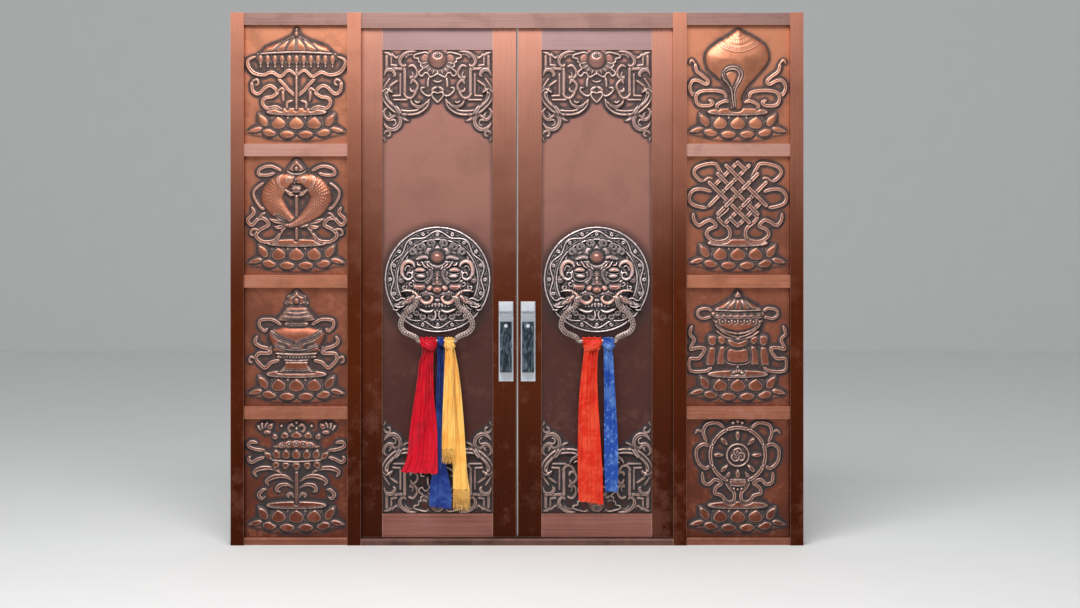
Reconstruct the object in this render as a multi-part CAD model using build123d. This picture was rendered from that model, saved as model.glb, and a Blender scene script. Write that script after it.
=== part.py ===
from build123d import *
import math
import os

# A copper-clad temple entrance: two leaves with lion-mask knockers between two sidelights
# of four pressed panels each. Millimetres, +X to the right, -Y towards the street, +Z up.
# The origin is the middle of the sill's underside.

# Frame
DOOR_WIDTH = 2950.0
DOOR_HEIGHT = 2745.0
FRAME_DEPTH = 120.0
SHEET = 2.0
OUTER_POST = 68.0
INNER_POST = 70.0
SIDE_OPENING = 533.0
SIDE_HEAD = 62.0
CENTRE_HEAD = 78.0
SIDE_RAIL = 64.0
SIDE_BOTTOM_RAIL = 37.0
RAIL_SETBACK = 12.0
PANEL_SETBACK = 40.0
PANEL_COUNT = 4
SILL_HEIGHT = 33.0
SILL_BEVEL = 6.0
ANCHOR_HOLE = 12.0
ANCHOR_INSETS = (250.0, 1000.0)
ANCHOR_SHIFT = 5.0

# Leaves
LEAF_THICKNESS = 80.0
LEAF_SETBACK = 40.0
REBATE = 18.0
STOP_GAP = 2.0
EDGE_GAP = 4.0
LEAF_FLOOR_GAP = 4.0
LEAF_HEAD_GAP = 4.0
LEAF_LAP = 13.0
MEETING_GAP = 5.0
MEETING_BEVEL = 2.5
HINGE_STILE = 125.0
MEETING_STILE = 124.0
LEAF_TOP_RAIL = 123.0
LEAF_BOTTOM_RAIL = 120.0
FIELD_SETBACK = 8.0
BACK_SKIN_SETBACK = 2.0

# Hinges on the back of the leaves
HINGE_HEIGHTS = (300.0, 1360.0, 2400.0)
HINGE_LENGTH = 120.0
HINGE_LEAF_WIDTH = 62.0
HINGE_FRAME_WIDTH = 44.0
HINGE_PLATE = 3.0
KNUCKLE_RADIUS = 8.0
KNUCKLE_MIDDLE = 48.0
KNUCKLE_GAP = 1.0
PIN_RADIUS = 5.0
PIN_FIT = 0.05
HINGE_AXIS_GAP = 2.0
HINGE_AXIS_BACK = 9.0

# Lion masks and knockers
MASK_RADIUS = 277.0
MASK_HEIGHT = 1369.0
MASK_RELIEF = 58.0
BORDER_OUTER = 258.0
BORDER_INNER = 213.0
FACE_RADIUS = 200.0
MASK_PLATE = 8.0
MASK_HOLLOW = 24.0
RING_PIVOT_DROP = 91.0
RING_STANDOFF = 70.0
RING_HALF_WIDTH = 13.0
RING_HALF_DEPTH = 12.0
RING_BAR_RADIUS = 12.0
RING_BAR_DROP = 315.0
RING_BAR_HALF = 90.0
RING_STUB_RADIUS = 6.0
RING_FIT = 0.06
LUG_INNER = 82.0
LUG_OUTER = 93.0
LUG_RADIUS = 10.0
RING_TOP_X = 108.0

# Handle sets
HANDLE_X = 57.0
HANDLE_WIDTH = 75.0
HANDLE_BOTTOM = 843.0
HANDLE_TOP = 1256.0
HANDLE_PLATE = 8.0
CAP_HEIGHT = 52.0
CAP_PROUD = 34.0
GRIP_WIDTH = 62.0
GRIP_BOTTOM = 892.0
GRIP_TOP = 1194.0
GRIP_PROUD = 48.0
GRIP_BAR = 14.0
GRIP_ARM = 36.0
GRIP_FOOT = 26.0
THUMB_RADIUS = 9.0
THUMB_FIT = 0.1
THUMB_BELOW_TOP = 62.0
THUMB_PROUD = 6.0
THUMB_LENGTH = 22.0
PLUG_RADIUS = 7.0
PLUG_FIT = 0.08
PLUG_BELOW_TOP = 26.0
KEYWAY_WIDTH = 1.6
KEYWAY_HEIGHT = 8.0
KEYWAY_DEPTH = 5.0

# Lock and flush bolts
LOCK_CASE_WIDTH = 88.0
LOCK_CASE_DEPTH = 24.0
LOCK_CASE_BOTTOM = 1080.0
LOCK_CASE_TOP = 1262.0
LOCK_CASE_Y = 12.0
FACEPLATE_HEIGHT = 220.0
DEAD_BOLT_SIZE = (14.0, 32.0)
DEAD_BOLT_HEIGHT = 1205.0
DEAD_BOLT_THROW = 20.0
LATCH_SIZE = (12.0, 26.0)
LATCH_HEIGHT = 1120.0
LATCH_THROW = 12.0
BOLT_LENGTH = 62.0
BOLT_FIT = 0.3
STRIKE_FIT = 1.5
FLUSH_BOLT_X = 30.0
FLUSH_BOLT_Y = 22.0
FLUSH_BOLT_RADIUS = 6.0
FLUSH_BOLT_FIT = 0.08
FLUSH_BOLT_LENGTH = 260.0
FLUSH_BOLT_THROW = 18.0
FLUSH_BOLT_INSET = 2.0
GUIDE_WIDTH = 24.0
GUIDE_HEIGHT = 40.0
SOCKET_FIT = 1.2
SOCKET_DEPTH = 22.0

# Scarves tied to the knockers
KNOT_RADIUS = 26.0
KNOT_FIT = 0.3
KNOT_DEPTH = 24.0

# Relief
RELIEF_SEAT = 0.8
STRIP_HEIGHT = 12.0
PETAL_HEIGHT = 17.0
SCROLL_HEIGHT = 14.0

# Worked out from the sizes above
FRONT = -FRAME_DEPTH / 2
BACK = FRAME_DEPTH / 2
OUTER_OUT = DOOR_WIDTH / 2
OUTER_IN = OUTER_OUT - OUTER_POST
INNER_OUT = OUTER_IN - SIDE_OPENING
INNER_IN = INNER_OUT - INNER_POST
SIDE_MIDDLE = (OUTER_IN + INNER_OUT) / 2
SIDE_TOP = DOOR_HEIGHT - SIDE_HEAD
PANEL_HEIGHT = (SIDE_TOP - SIDE_BOTTOM_RAIL - (PANEL_COUNT - 1) * SIDE_RAIL) / PANEL_COUNT
PANEL_PITCH = PANEL_HEIGHT + SIDE_RAIL
PANEL_FACE = FRONT + PANEL_SETBACK
LEAF_FACE = FRONT + LEAF_SETBACK
LEAF_BACK = LEAF_FACE + LEAF_THICKNESS
LEAF_EDGE = INNER_IN + REBATE
POST_BODY = LEAF_EDGE + EDGE_GAP
LEAF_BOTTOM = SILL_HEIGHT + LEAF_FLOOR_GAP
LEAF_TOP = DOOR_HEIGHT - CENTRE_HEAD + LEAF_LAP
HEAD_BODY = LEAF_TOP + LEAF_HEAD_GAP
MEETING_EDGE = MEETING_GAP / 2
FIELD_IN = MEETING_EDGE + MEETING_STILE
FIELD_OUT = LEAF_EDGE - HINGE_STILE
FIELD_MIDDLE = (FIELD_IN + FIELD_OUT) / 2
FIELD_BOTTOM = LEAF_BOTTOM + LEAF_BOTTOM_RAIL
FIELD_TOP = LEAF_TOP - LEAF_TOP_RAIL
FIELD_FACE = LEAF_FACE + FIELD_SETBACK
HINGE_X = LEAF_EDGE + HINGE_AXIS_GAP
HINGE_Y = LEAF_BACK + HINGE_AXIS_BACK
RING_Y = FIELD_FACE - RING_STANDOFF
RING_PIVOT = MASK_HEIGHT - RING_PIVOT_DROP
RING_BAR = MASK_HEIGHT - RING_BAR_DROP
PLATE_FACE = LEAF_FACE - HANDLE_PLATE
GRIP_FACE = PLATE_FACE - GRIP_PROUD
THUMB_HEIGHT = GRIP_TOP - THUMB_BELOW_TOP
PLUG_HEIGHT = HANDLE_TOP - PLUG_BELOW_TOP

os.makedirs("parts", exist_ok=True)


def save(name, shapes):
    """Write one sub-part, a single solid or a group of like solids."""
    solids = [solid for shape in shapes for solid in shape.solids()]
    shape = solids[0] if len(solids) == 1 else Compound(children=solids)
    shape.label = name
    export_step(shape, f"parts/{name}.step")


def block(x0, x1, y0, y1, z0, z1):
    """A rectangular block between two corners."""
    return Pos((x0 + x1) / 2, (y0 + y1) / 2, (z0 + z1) / 2) * Box(abs(x1 - x0), abs(y1 - y0), abs(z1 - z0))


def across(shape, side):
    """The shape as modelled on the right, or its mirror image on the left."""
    return shape if side > 0 else mirror(shape, about=Plane.YZ)


def upright(outline, bottom, top):
    """A plan outline of (x, y) points carried straight up."""
    face = Face(Wire.make_polygon([Vector(x, y, bottom) for x, y in outline], close=True))
    return extrude(face, amount=top - bottom, dir=(0, 0, 1))


def lengthwise(outline, x0, x1):
    """A side outline of (y, z) points carried along X."""
    face = Face(Wire.make_polygon([Vector(x0, y, z) for y, z in outline], close=True))
    return extrude(face, amount=x1 - x0, dir=(1, 0, 0))


def bar_z(x, y, radius, bottom, top):
    return Pos(x, y, (bottom + top) / 2) * Cylinder(radius, top - bottom)


def bar_y(x, z, radius, front, back):
    return Pos(x, (front + back) / 2, z) * Rot(90, 0, 0) * Cylinder(radius, back - front)


def bar_x(y, z, radius, x0, x1):
    return Pos((x0 + x1) / 2, y, z) * Rot(0, 90, 0) * Cylinder(radius, x1 - x0)


# Relief: every raised form is cut in flat facets, like chisel work, and stands on a sheet.


def faceted(faces):
    """A solid from flat faces, each a loop of points."""
    return Solid(Shell([Face(Wire.make_polygon([Vector(*p) for p in loop], close=True)) for loop in faces]))


class Relief:
    """Raised forms on one face, placed by (right, up) from a point on that face."""

    def __init__(self, x, y, z, flip=1):
        self.x, self.y, self.z, self.flip = x, y, z, flip
        self.solids = []

    def at(self, u, v, rise):
        return (self.x + u, self.y - rise, self.z + self.flip * v)

    def signs(self, both):
        """One copy, or one each side of the middle line."""
        return (1, -1) if both else (1,)

    def strip(self, points, width, height=STRIP_HEIGHT, tip=0.35, root=1.0, both=True):
        """A ridged band along a line of points, narrowing to its tip."""
        last = len(points) - 1
        sides = ([], [])
        for i, (u, v) in enumerate(points):
            before, after = points[max(i - 1, 0)], points[min(i + 1, last)]
            du, dv = after[0] - before[0], after[1] - before[1]
            length = math.hypot(du, dv)
            share = i / last
            half = width / 2 * min(1.0, root + share * 3, tip + (1 - share) * 3)
            for side, sign in zip(sides, (1, -1)):
                side.append((u - sign * dv / length * half, v + sign * du / length * half))
        for sign in self.signs(both):
            left, right = [[self.at(sign * u, v, -RELIEF_SEAT) for u, v in side] for side in sides]
            ridge = [self.at(sign * u, v, height) for u, v in points]
            faces = [left + right[::-1], [left[0], ridge[0], right[0]],
                     [left[last], right[last], ridge[last]]]
            for i in range(last):
                faces += [[left[i], left[i + 1], ridge[i + 1]], [left[i], ridge[i + 1], ridge[i]]]
                faces += [[right[i], ridge[i + 1], right[i + 1]], [right[i], ridge[i], ridge[i + 1]]]
            self.solids.append(faceted(faces))

    def mound(self, outline, height, levels=((0.72, 1.0),), both=False, centre=None):
        """A raised form that steps in towards its middle, level by level."""
        count = len(outline)
        mu, mv = centre or (sum(p[0] for p in outline) / count, sum(p[1] for p in outline) / count)
        for sign in self.signs(both):
            rings = []
            for scale, share in ((1.0, 0.0),) + tuple(levels):
                rise = height * share if share else -RELIEF_SEAT
                rings.append([self.at(sign * (mu + (u - mu) * scale), mv + (v - mv) * scale, rise)
                              for u, v in outline])
            faces = [rings[0], rings[-1]]
            for lower, upper in zip(rings, rings[1:]):
                for i in range(count):
                    j = (i + 1) % count
                    faces.append([lower[i], lower[j], upper[j], upper[i]])
            self.solids.append(faceted(faces))

    def peak(self, outline, apex, height, both=False):
        """A raised form whose facets all meet in one point."""
        for sign in self.signs(both):
            low = [self.at(sign * u, v, -RELIEF_SEAT) for u, v in outline]
            top = self.at(sign * apex[0], apex[1], height)
            self.solids.append(faceted([low] + [[a, b, top] for a, b in zip(low, low[1:] + low[:1])]))

    def petal(self, u, v, width, length, turn=0.0, height=PETAL_HEIGHT, both=False):
        """A petal with its point up, turned about its middle."""
        angle = math.radians(turn)
        shape = ((0.0, 0.5), (-0.46, 0.1), (-0.34, -0.42), (0.34, -0.42), (0.46, 0.1), (0.0, 0.08))
        points = [(u + a * width * math.cos(angle) - b * length * math.sin(angle),
                   v + a * width * math.sin(angle) + b * length * math.cos(angle)) for a, b in shape]
        self.peak(points[:-1], points[-1], height, both)

    def band(self, outline, centre, inner, height):
        """A closed ring with a ridge along its middle."""
        def scaled(share, rise):
            return [self.at(centre[0] + (u - centre[0]) * share, centre[1] + (v - centre[1]) * share, rise)
                    for u, v in outline]
        outside, inside = scaled(1.0, -RELIEF_SEAT), scaled(inner, -RELIEF_SEAT)
        ridge = scaled((1 + inner) / 2, height)
        faces = []
        for i in range(len(outline)):
            j = (i + 1) % len(outline)
            faces += [[outside[i], outside[j], ridge[j], ridge[i]],
                      [ridge[i], ridge[j], inside[j], inside[i]],
                      [outside[i], inside[i], inside[j], outside[j]]]
        self.solids.append(faceted(faces))

    def on(self, sheet):
        """The sheet with its raised forms, one pressed piece."""
        return sheet.fuse(*self.solids)


def oval(u, v, half_width, half_height, sides, turn=0.0):
    """Points round an ellipse."""
    points = []
    for k in range(sides):
        angle = 2 * math.pi * (k + 0.5) / sides
        a, b = half_width * math.cos(angle), half_height * math.sin(angle)
        points.append((u + a * math.cos(turn) - b * math.sin(turn),
                       v + a * math.sin(turn) + b * math.cos(turn)))
    return points


def round_outline(centre, radius, sides):
    return oval(centre[0], centre[1], radius, radius, sides)


def lotus_throne(relief):
    """The lotus seat that carries each symbol: two rows of petals and a round top."""
    for u, v, width, length, turn in ((-212, -238, 30, 82, 107), (-138, -255, 66, 52, 178),
                                      (-49, -258, 82, 52, 180), (-166, -188, 40, 70, 28),
                                      (-88, -199, 74, 60, 5)):
        relief.petal(u, v, width, length, turn, both=True)
    relief.petal(0, -200, 80, 64)
    seat = [(-155, -152), (-110, -168), (110, -168), (155, -152),
            (112, -130), (40, -123), (-40, -123), (-112, -130)]
    relief.mound(seat, 13, ((0.94, 1.0),))


def parasol(relief):
    """The parasol, with tassels, a swagged scarf, its pole and two streamers."""
    dome = [(-178, 157), (-168, 194), (-96, 214), (-36, 242), (36, 242), (96, 214), (168, 194), (178, 157)]
    relief.mound(dome, 24, ((0.9, 0.75), (0.62, 1.0)), centre=(0, 178))
    relief.petal(0, 264, 44, 54, height=18)
    for k in range(11):
        u = -186 + k * 37.2
        relief.peak([(u - 16, 152), (u, 97), (u + 16, 152)], (u, 124), 15)
    relief.strip([(-205, 146), (-252, 112), (-214, 58), (-160, 50), (-126, 66), (-82, 40), (-40, 72),
                  (0, 42)], 21)
    relief.strip([(0, 34), (0, -142)], 17, 14, both=False, tip=1.0)
    relief.strip([(-98, 32), (-50, -24), (0, -62)], 24, tip=0.8)
    relief.strip([(-72, -26), (-68, -84)], 16)
    relief.strip([(-232, 15), (-220, -40), (-188, -44), (-146, -6), (-102, -30), (-128, -62), (-170, -80),
                  (-150, -122), (-80, -118)], 16, root=0.2)


def golden_fish(relief):
    """Two fish nose to nose, their tails crossed, on a pole under a jewel."""
    relief.mound(oval(7, 238, 50, 20, 8), 14, ((0.8, 1.0),))
    relief.petal(7, 268, 62, 48, height=20)
    relief.strip([(0, 120), (0, -142)], 20, 12, both=False, tip=1.0)
    line = [(-14, 196), (-62, 186), (-110, 142), (-124, 92), (-94, 34), (-36, -18), (60, -60)]
    girth = [18, 74, 122, 122, 96, 56, 30]
    for sign, height in ((1, 27), (-1, 21)):
        fish_body(relief, line, girth, height, sign)
    relief.mound([(150, -8), (118, -62), (96, -100), (60, -84), (58, -50), (98, -32)], 14, both=True)
    relief.peak([(-166, 174), (-208, 146), (-224, 112), (-206, 74), (-178, 42), (-158, 100)], (-180, 110), 18,
                both=True)
    relief.strip([(-80, 230), (-124, 262), (-186, 250), (-202, 216), (-172, 198)], 19)
    relief.strip([(-232, 43), (-220, 6), (-248, -24), (-222, -46), (-178, -18), (-148, -44), (-190, -78),
                  (-204, -112), (-160, -132), (-88, -104)], 16, root=0.2)


def fish_body(relief, line, girth, height, sign):
    """A rounded body along a curve, with a shoulder each side of its back."""
    last = len(line) - 1
    rows = []
    for i, (u, v) in enumerate(line):
        before, after = line[max(i - 1, 0)], line[min(i + 1, last)]
        du, dv = after[0] - before[0], after[1] - before[1]
        length = math.hypot(du, dv)
        nu, nv = -dv / length * girth[i] / 2, du / length * girth[i] / 2
        rise = height * min(1.0, 0.45 + girth[i] / 180)
        rows.append([relief.at(sign * (u + nu * share), v + nv * share, rise * up if up else -RELIEF_SEAT)
                     for share, up in ((1, 0), (0.6, 0.82), (-0.05, 1), (-0.64, 0.8), (-1, 0))])
    faces = [[row[0] for row in rows] + [row[4] for row in rows][::-1]]
    faces += [[rows[end][0], rows[end][k], rows[end][k + 1]] for end in (0, last) for k in (1, 2, 3)]
    for lower, upper in zip(rows, rows[1:]):
        for k in range(4):
            faces += [[lower[k], upper[k], upper[k + 1]], [lower[k], upper[k + 1], lower[k + 1]]]
    relief.solids.append(faceted(faces))


def treasure_vase(relief):
    """The treasure vase with its flame jewel, lid, swag and foot."""
    relief.petal(0, 254, 124, 84, height=16)
    relief.petal(0, 246, 46, 48, height=26)
    relief.mound([(-44, 206), (-92, 146), (-80, 137), (80, 137), (92, 146), (44, 206)], 22, ((0.8, 1.0),))
    relief.mound([(-50, 134), (-52, 104), (52, 104), (50, 134)], 14, ((0.9, 1.0),))
    belly = [(-60, 106), (-134, 88), (-146, 46), (-104, -30), (104, -30), (146, 46), (134, 88), (60, 106)]
    relief.mound(belly, 30, ((0.9, 0.65), (0.66, 1.0)))
    relief.mound([(-104, -34), (-84, -62), (84, -62), (104, -34)], 20, ((0.9, 1.0),))
    relief.mound([(-57, -74), (-88, -124), (-80, -130), (80, -130), (88, -124), (57, -74)], 20,
                 ((0.84, 1.0),))
    relief.strip([(-128, 84), (-64, 38), (0, 8)], 17, 37, tip=0.9)
    relief.strip([(-78, 112), (-122, 144), (-190, 128), (-166, 84)], 18)
    relief.strip([(-203, 54), (-206, 14), (-146, -10), (-152, -36), (-206, -56), (-172, -108), (-128, -86),
                  (-90, -72)], 16, root=0.2)


def lotus_flower(relief):
    """The lotus in full flower on its stem, with leaves, buds and scrolls."""
    relief.mound([(-112, 152), (-84, 182), (-40, 192), (40, 192), (84, 182), (112, 152)], 18, ((0.84, 1.0),))
    for u, turn in ((-103, 10), (-54, 5)):
        relief.petal(u, 120, 48, 62, turn, 23, both=True)
        relief.petal(u, 64, 48, 48, 180 - turn, 18, both=True)
    relief.petal(0, 120, 58, 66, height=26)
    relief.petal(0, 62, 48, 50, 180, 20)
    relief.petal(-144, 134, 28, 70, 34, 14, both=True)
    relief.petal(-62, 212, 52, 42, 16, 13, both=True)
    relief.petal(0, 216, 68, 44, height=15)
    relief.strip([(-4, 240), (-34, 240), (-36, 270), (-10, 270)], 12)
    relief.strip([(-58, 244), (-86, 248), (-72, 270)], 14)
    relief.mound(oval(-158, 252, 60, 34, 7, 0.15), 20, ((0.62, 1.0),), both=True)
    relief.strip([(-164, 140), (-224, 148), (-248, 174), (-206, 184)], 18)
    relief.strip([(-166, 106), (-206, 92), (-242, 82), (-248, 108)], 18)
    relief.strip([(0, 40), (0, -142)], 25, 20, both=False, tip=1.0)
    relief.strip([(-62, 18), (-118, 48), (-184, 46), (-212, 8)], 22, 16, root=0.3)
    relief.strip([(-14, -24), (-62, 8), (-132, 4), (-142, -40)], 21, 16, root=0.3)
    relief.strip([(-12, -58), (-52, -36), (-100, -60)], 19, 14, root=0.3)
    relief.strip([(-12, -112), (-46, -88)], 13)


def conch(relief):
    """The conch shell, point up, with its lip and coils, between streamers."""
    shell = [(0, 288), (-50, 251), (-152, 176), (-167, 138), (-154, 84), (-54, -8), (-40, -50), (-42, -132),
             (20, -132), (22, -68), (50, -12), (150, 100), (162, 143), (144, 196), (84, 240)]
    relief.mound(shell, 30, ((0.9, 0.65), (0.62, 1.0)), centre=(-4, 120))
    relief.strip([(-88, 50), (-60, 84), (-10, 92), (22, 54), (-10, -20), (-12, -122)], 13, 35, both=False)
    relief.strip([(-219, 109), (-206, 64), (-154, 32), (-164, 6), (-242, 16), (-232, -50)], 17, root=0.2)
    relief.strip([(-60, -76), (-82, -38), (-190, -32), (-218, -72), (-186, -108), (-140, -104)], 19)
    relief.strip([(-44, -94), (-84, -90), (-112, -112)], 17)


def endless_knot(relief):
    """The endless knot, one closed band on the slant, with looped scarves."""
    near, far, tip = 62.0, 116.0, 142.0
    path = [(-far, far), (-near, far), (-near, -tip), (0, -tip), (0, tip), (near, tip), (near, -far),
            (far, -far), (far, -near), (-tip, -near), (-tip, 0), (tip, 0), (tip, near), (-far, near)]
    corners = [((p + q) / math.sqrt(2), 112 + (q - p) / math.sqrt(2)) for p, q in path]
    half = 11.0
    for i, (u0, v0) in enumerate(corners):
        u1, v1 = corners[(i + 1) % len(corners)]
        length = math.hypot(u1 - u0, v1 - v0)
        du, dv = (u1 - u0) / length * half, (v1 - v0) / length * half
        ends = [(u0 - du - dv, v0 - dv + du), (u0 - du + dv, v0 - dv - du),
                (u1 + du + dv, v1 + dv - du), (u1 + du - dv, v1 + dv + du)]
        relief.mound(ends, 15 if i % 2 else 19, ((0.97, 1.0),))
    relief.strip([(-72, 190), (-96, 248), (-134, 268), (-216, 244), (-182, 184)], 19)
    relief.strip([(-172, 130), (-230, 128), (-246, 76), (-168, 44)], 19)
    relief.strip([(-56, 40), (-90, 0), (-52, -66), (-68, -122), (-134, -130), (-158, -90), (-118, -58),
                  (-134, -28), (-200, -48), (-230, 12)], 16)


def victory_banner(relief):
    """The banner of victory: a capped drum over two tiers of pleated cloth."""
    relief.petal(0, 268, 48, 56, height=20)
    relief.mound([(-112, 190), (-84, 220), (-26, 246), (26, 246), (84, 220), (112, 190)], 22, ((0.84, 1.0),))
    relief.mound([(-118, 184), (-122, 138), (-62, 80), (62, 80), (122, 138), (118, 184)], 28,
                 ((0.9, 0.7), (0.7, 1.0)))
    relief.strip([(-130, 142), (-92, 98), (0, 68)], 14, 30, tip=1.0)
    relief.strip([(-112, 84), (-64, 50), (0, 26)], 13, 24, tip=0.8)
    for u, width, low in ((0, 104, -10), (-80, 42, -2), (-130, 42, 8)):
        relief.mound([(u - width * 0.4, low + 58), (u - width / 2, low), (u + width / 2, low),
                      (u + width * 0.4, low + 58)], 18, ((0.8, 1.0),), both=u != 0)
    for u, width, low in ((0, 148, -92), (-122, 76, -76)):
        relief.mound([(u - width * 0.4, low + 74), (u - width / 2, low + 6), (u, low - 6),
                      (u + width / 2, low + 6), (u + width * 0.4, low + 74)], 15, ((0.84, 1.0),),
                     both=u != 0)
    relief.strip([(0, -100), (0, -142)], 17, 14, both=False, tip=1.0)
    relief.strip([(-124, 168), (-154, 212), (-212, 186), (-190, 142), (-142, 134)], 18)
    relief.strip([(-236, 107), (-244, 58), (-226, 30), (-242, -12), (-180, -12), (-248, -74), (-244, -122),
                  (-146, -112)], 17, root=0.2)


def dharma_wheel(relief):
    """The wheel of eight spokes, with looped scarves and three-jewel groups."""
    hub = (4, 118)
    relief.band(round_outline(hub, 148, 24), hub, 0.86, 18)
    relief.band(round_outline(hub, 60, 10), hub, 0.78, 20)
    relief.mound(round_outline(hub, 40, 6), 16)
    for k in range(8):
        angle = math.radians(45 * k)
        relief.petal(hub[0] - 94 * math.sin(angle), hub[1] + 94 * math.cos(angle), 36, 58, 45 * k + 180, 15)
    for u, v in ((0, 290), (-20, 276), (20, 276), (-15, -56), (15, -56), (0, -76)):
        relief.peak(round_outline((u, v), 11, 5), (u, v), 16)
    relief.mound([(-36, -6), (-30, -38), (38, -38), (44, -6)], 16)
    relief.strip([(-76, 260), (-110, 284), (-172, 262), (-176, 212), (-154, 192)], 19)
    relief.strip([(-146, 164), (-190, 170), (-214, 124), (-184, 58), (-146, 62)], 19)
    relief.strip([(-42, 20), (-58, -10), (-24, -76), (-34, -120), (-112, -84), (-90, -26), (-170, -26),
                  (-184, 26)],
                 17)


def leaf_ornament(relief):
    """The scroll and key-fret ornament that fills one end of a leaf's field."""
    relief.mound(oval(0, -64, 92, 64, 10), 7, ((0.94, 1.0),))
    relief.mound(oval(0, -54, 46, 46, 8), 28, ((0.88, 0.65), (0.5, 1.0)))
    relief.strip([(-34, -148), (-60, -196), (-66, -228), (0, -268)], 17)
    relief.strip([(-122, -14), (-188, -34), (-168, -78)], 18)
    relief.strip([(-262, -40), (-262, -100), (-166, -100), (-166, -224)], 20, SCROLL_HEIGHT, tip=1.0)
    relief.strip([(-238, -259), (-162, -259)], 16, SCROLL_HEIGHT, tip=1.0)
    relief.strip([(-146, -88), (-108, -116), (-134, -160)], 17, SCROLL_HEIGHT)
    relief.strip([(-140, -174), (-102, -204), (-146, -240)], 17, SCROLL_HEIGHT)
    relief.strip([(-222, -142), (-248, -112), (-270, -140)], 18, SCROLL_HEIGHT)
    relief.strip([(-238, -214), (-266, -250), (-236, -308), (-168, -328), (-96, -304), (-54, -266)], 28, 20,
                 tip=0.2)
    relief.strip([(-132, -268), (-100, -292), (-70, -282)], 15)
    relief.strip([(-270, -324), (-226, -358), (-194, -384), (-222, -412), (-262, -402)], 19, SCROLL_HEIGHT)
    relief.strip([(-250, -428), (-268, -474)], 15)


SYMBOLS = {
    "left": (lotus_flower, treasure_vase, golden_fish, parasol),
    "right": (dharma_wheel, victory_banner, endless_knot, conch),
}
SYMBOL_NAMES = {
    "left": ("lotus_panel", "vase_panel", "fish_panel", "parasol_panel"),
    "right": ("wheel_panel", "banner_panel", "knot_panel", "conch_panel"),
}


# Frame


def outer_post(side):
    """A folded box post with four anchor holes through its outer wall."""
    shell = block(OUTER_IN, OUTER_OUT, FRONT, BACK, 0, DOOR_HEIGHT)
    hollow = block(OUTER_IN + SHEET, OUTER_OUT - SHEET, FRONT + SHEET, BACK - SHEET, 0, DOOR_HEIGHT)
    post = shell - hollow
    for inset in ANCHOR_INSETS:
        for z in (inset, DOOR_HEIGHT - inset + ANCHOR_SHIFT):
            post -= bar_x(0, z, ANCHOR_HOLE / 2, OUTER_OUT - 2 * SHEET, OUTER_OUT + SHEET)
    return across(post, side)


def post_outline(inset):
    """The inner post in plan: a stop lip in front and a body behind the leaf's edge."""
    lip_back = LEAF_FACE - STOP_GAP
    return [(INNER_IN + inset, FRONT + inset), (INNER_OUT - inset, FRONT + inset),
            (INNER_OUT - inset, BACK - inset),
            (POST_BODY + inset, BACK - inset), (POST_BODY + inset, lip_back - inset),
            (INNER_IN + inset, lip_back - inset)]


def inner_post(side):
    """A folded post that carries the leaf's hinges and stops the leaf in front."""
    shell, hollow = (upright(post_outline(inset), 0, DOOR_HEIGHT) for inset in (0, SHEET))
    return across(shell - hollow, side)


def side_head(side):
    shell = block(INNER_OUT, OUTER_IN, FRONT + RAIL_SETBACK, BACK, SIDE_TOP, DOOR_HEIGHT)
    hollow = block(INNER_OUT, OUTER_IN, FRONT + RAIL_SETBACK + SHEET, BACK - SHEET, SIDE_TOP + SHEET,
                   DOOR_HEIGHT - SHEET)
    return across(shell - hollow, side)


def head_outline(inset):
    """The centre head from the side: a stop lip in front and a body over the leaves."""
    front, lip_back = FRONT + RAIL_SETBACK, LEAF_FACE - STOP_GAP
    lip = DOOR_HEIGHT - CENTRE_HEAD
    return [(front + inset, lip + inset), (lip_back - inset, lip + inset),
            (lip_back - inset, HEAD_BODY + inset), (BACK - inset, HEAD_BODY + inset),
            (BACK - inset, DOOR_HEIGHT - inset), (front + inset, DOOR_HEIGHT - inset)]


def centre_head():
    """The head over the leaves, notched round the posts' bodies, with the top bolt's socket."""
    ends = block(-POST_BODY, POST_BODY, LEAF_FACE - STOP_GAP, BACK, HEAD_BODY, DOOR_HEIGHT)
    ends += block(-INNER_IN, INNER_IN, FRONT, LEAF_FACE - STOP_GAP, DOOR_HEIGHT - CENTRE_HEAD, DOOR_HEIGHT)
    profile = lengthwise(head_outline(0), -POST_BODY, POST_BODY)
    profile -= lengthwise(head_outline(SHEET), -POST_BODY, POST_BODY)
    socket = bar_z(-FLUSH_BOLT_X, FLUSH_BOLT_Y, FLUSH_BOLT_RADIUS + SOCKET_FIT, HEAD_BODY - SHEET,
                   HEAD_BODY + 2 * SHEET)
    return (profile & ends) - socket


def sill():
    """The threshold bar between the inner posts, bevelled in front, with the bottom bolt's socket."""
    outline = [(FRONT, 0), (BACK, 0), (BACK, SILL_HEIGHT), (FRONT + SILL_BEVEL, SILL_HEIGHT),
               (FRONT, SILL_HEIGHT - SILL_BEVEL)]
    lip_back = LEAF_FACE - STOP_GAP
    room = block(-INNER_IN, INNER_IN, FRONT, lip_back, 0, SILL_HEIGHT)
    room += block(-POST_BODY, POST_BODY, lip_back, BACK, 0, SILL_HEIGHT)
    socket = bar_z(-FLUSH_BOLT_X, FLUSH_BOLT_Y, FLUSH_BOLT_RADIUS + SOCKET_FIT,
                   SILL_HEIGHT - SOCKET_DEPTH, SILL_HEIGHT)
    return (lengthwise(outline, -POST_BODY, POST_BODY) & room) - socket


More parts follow.
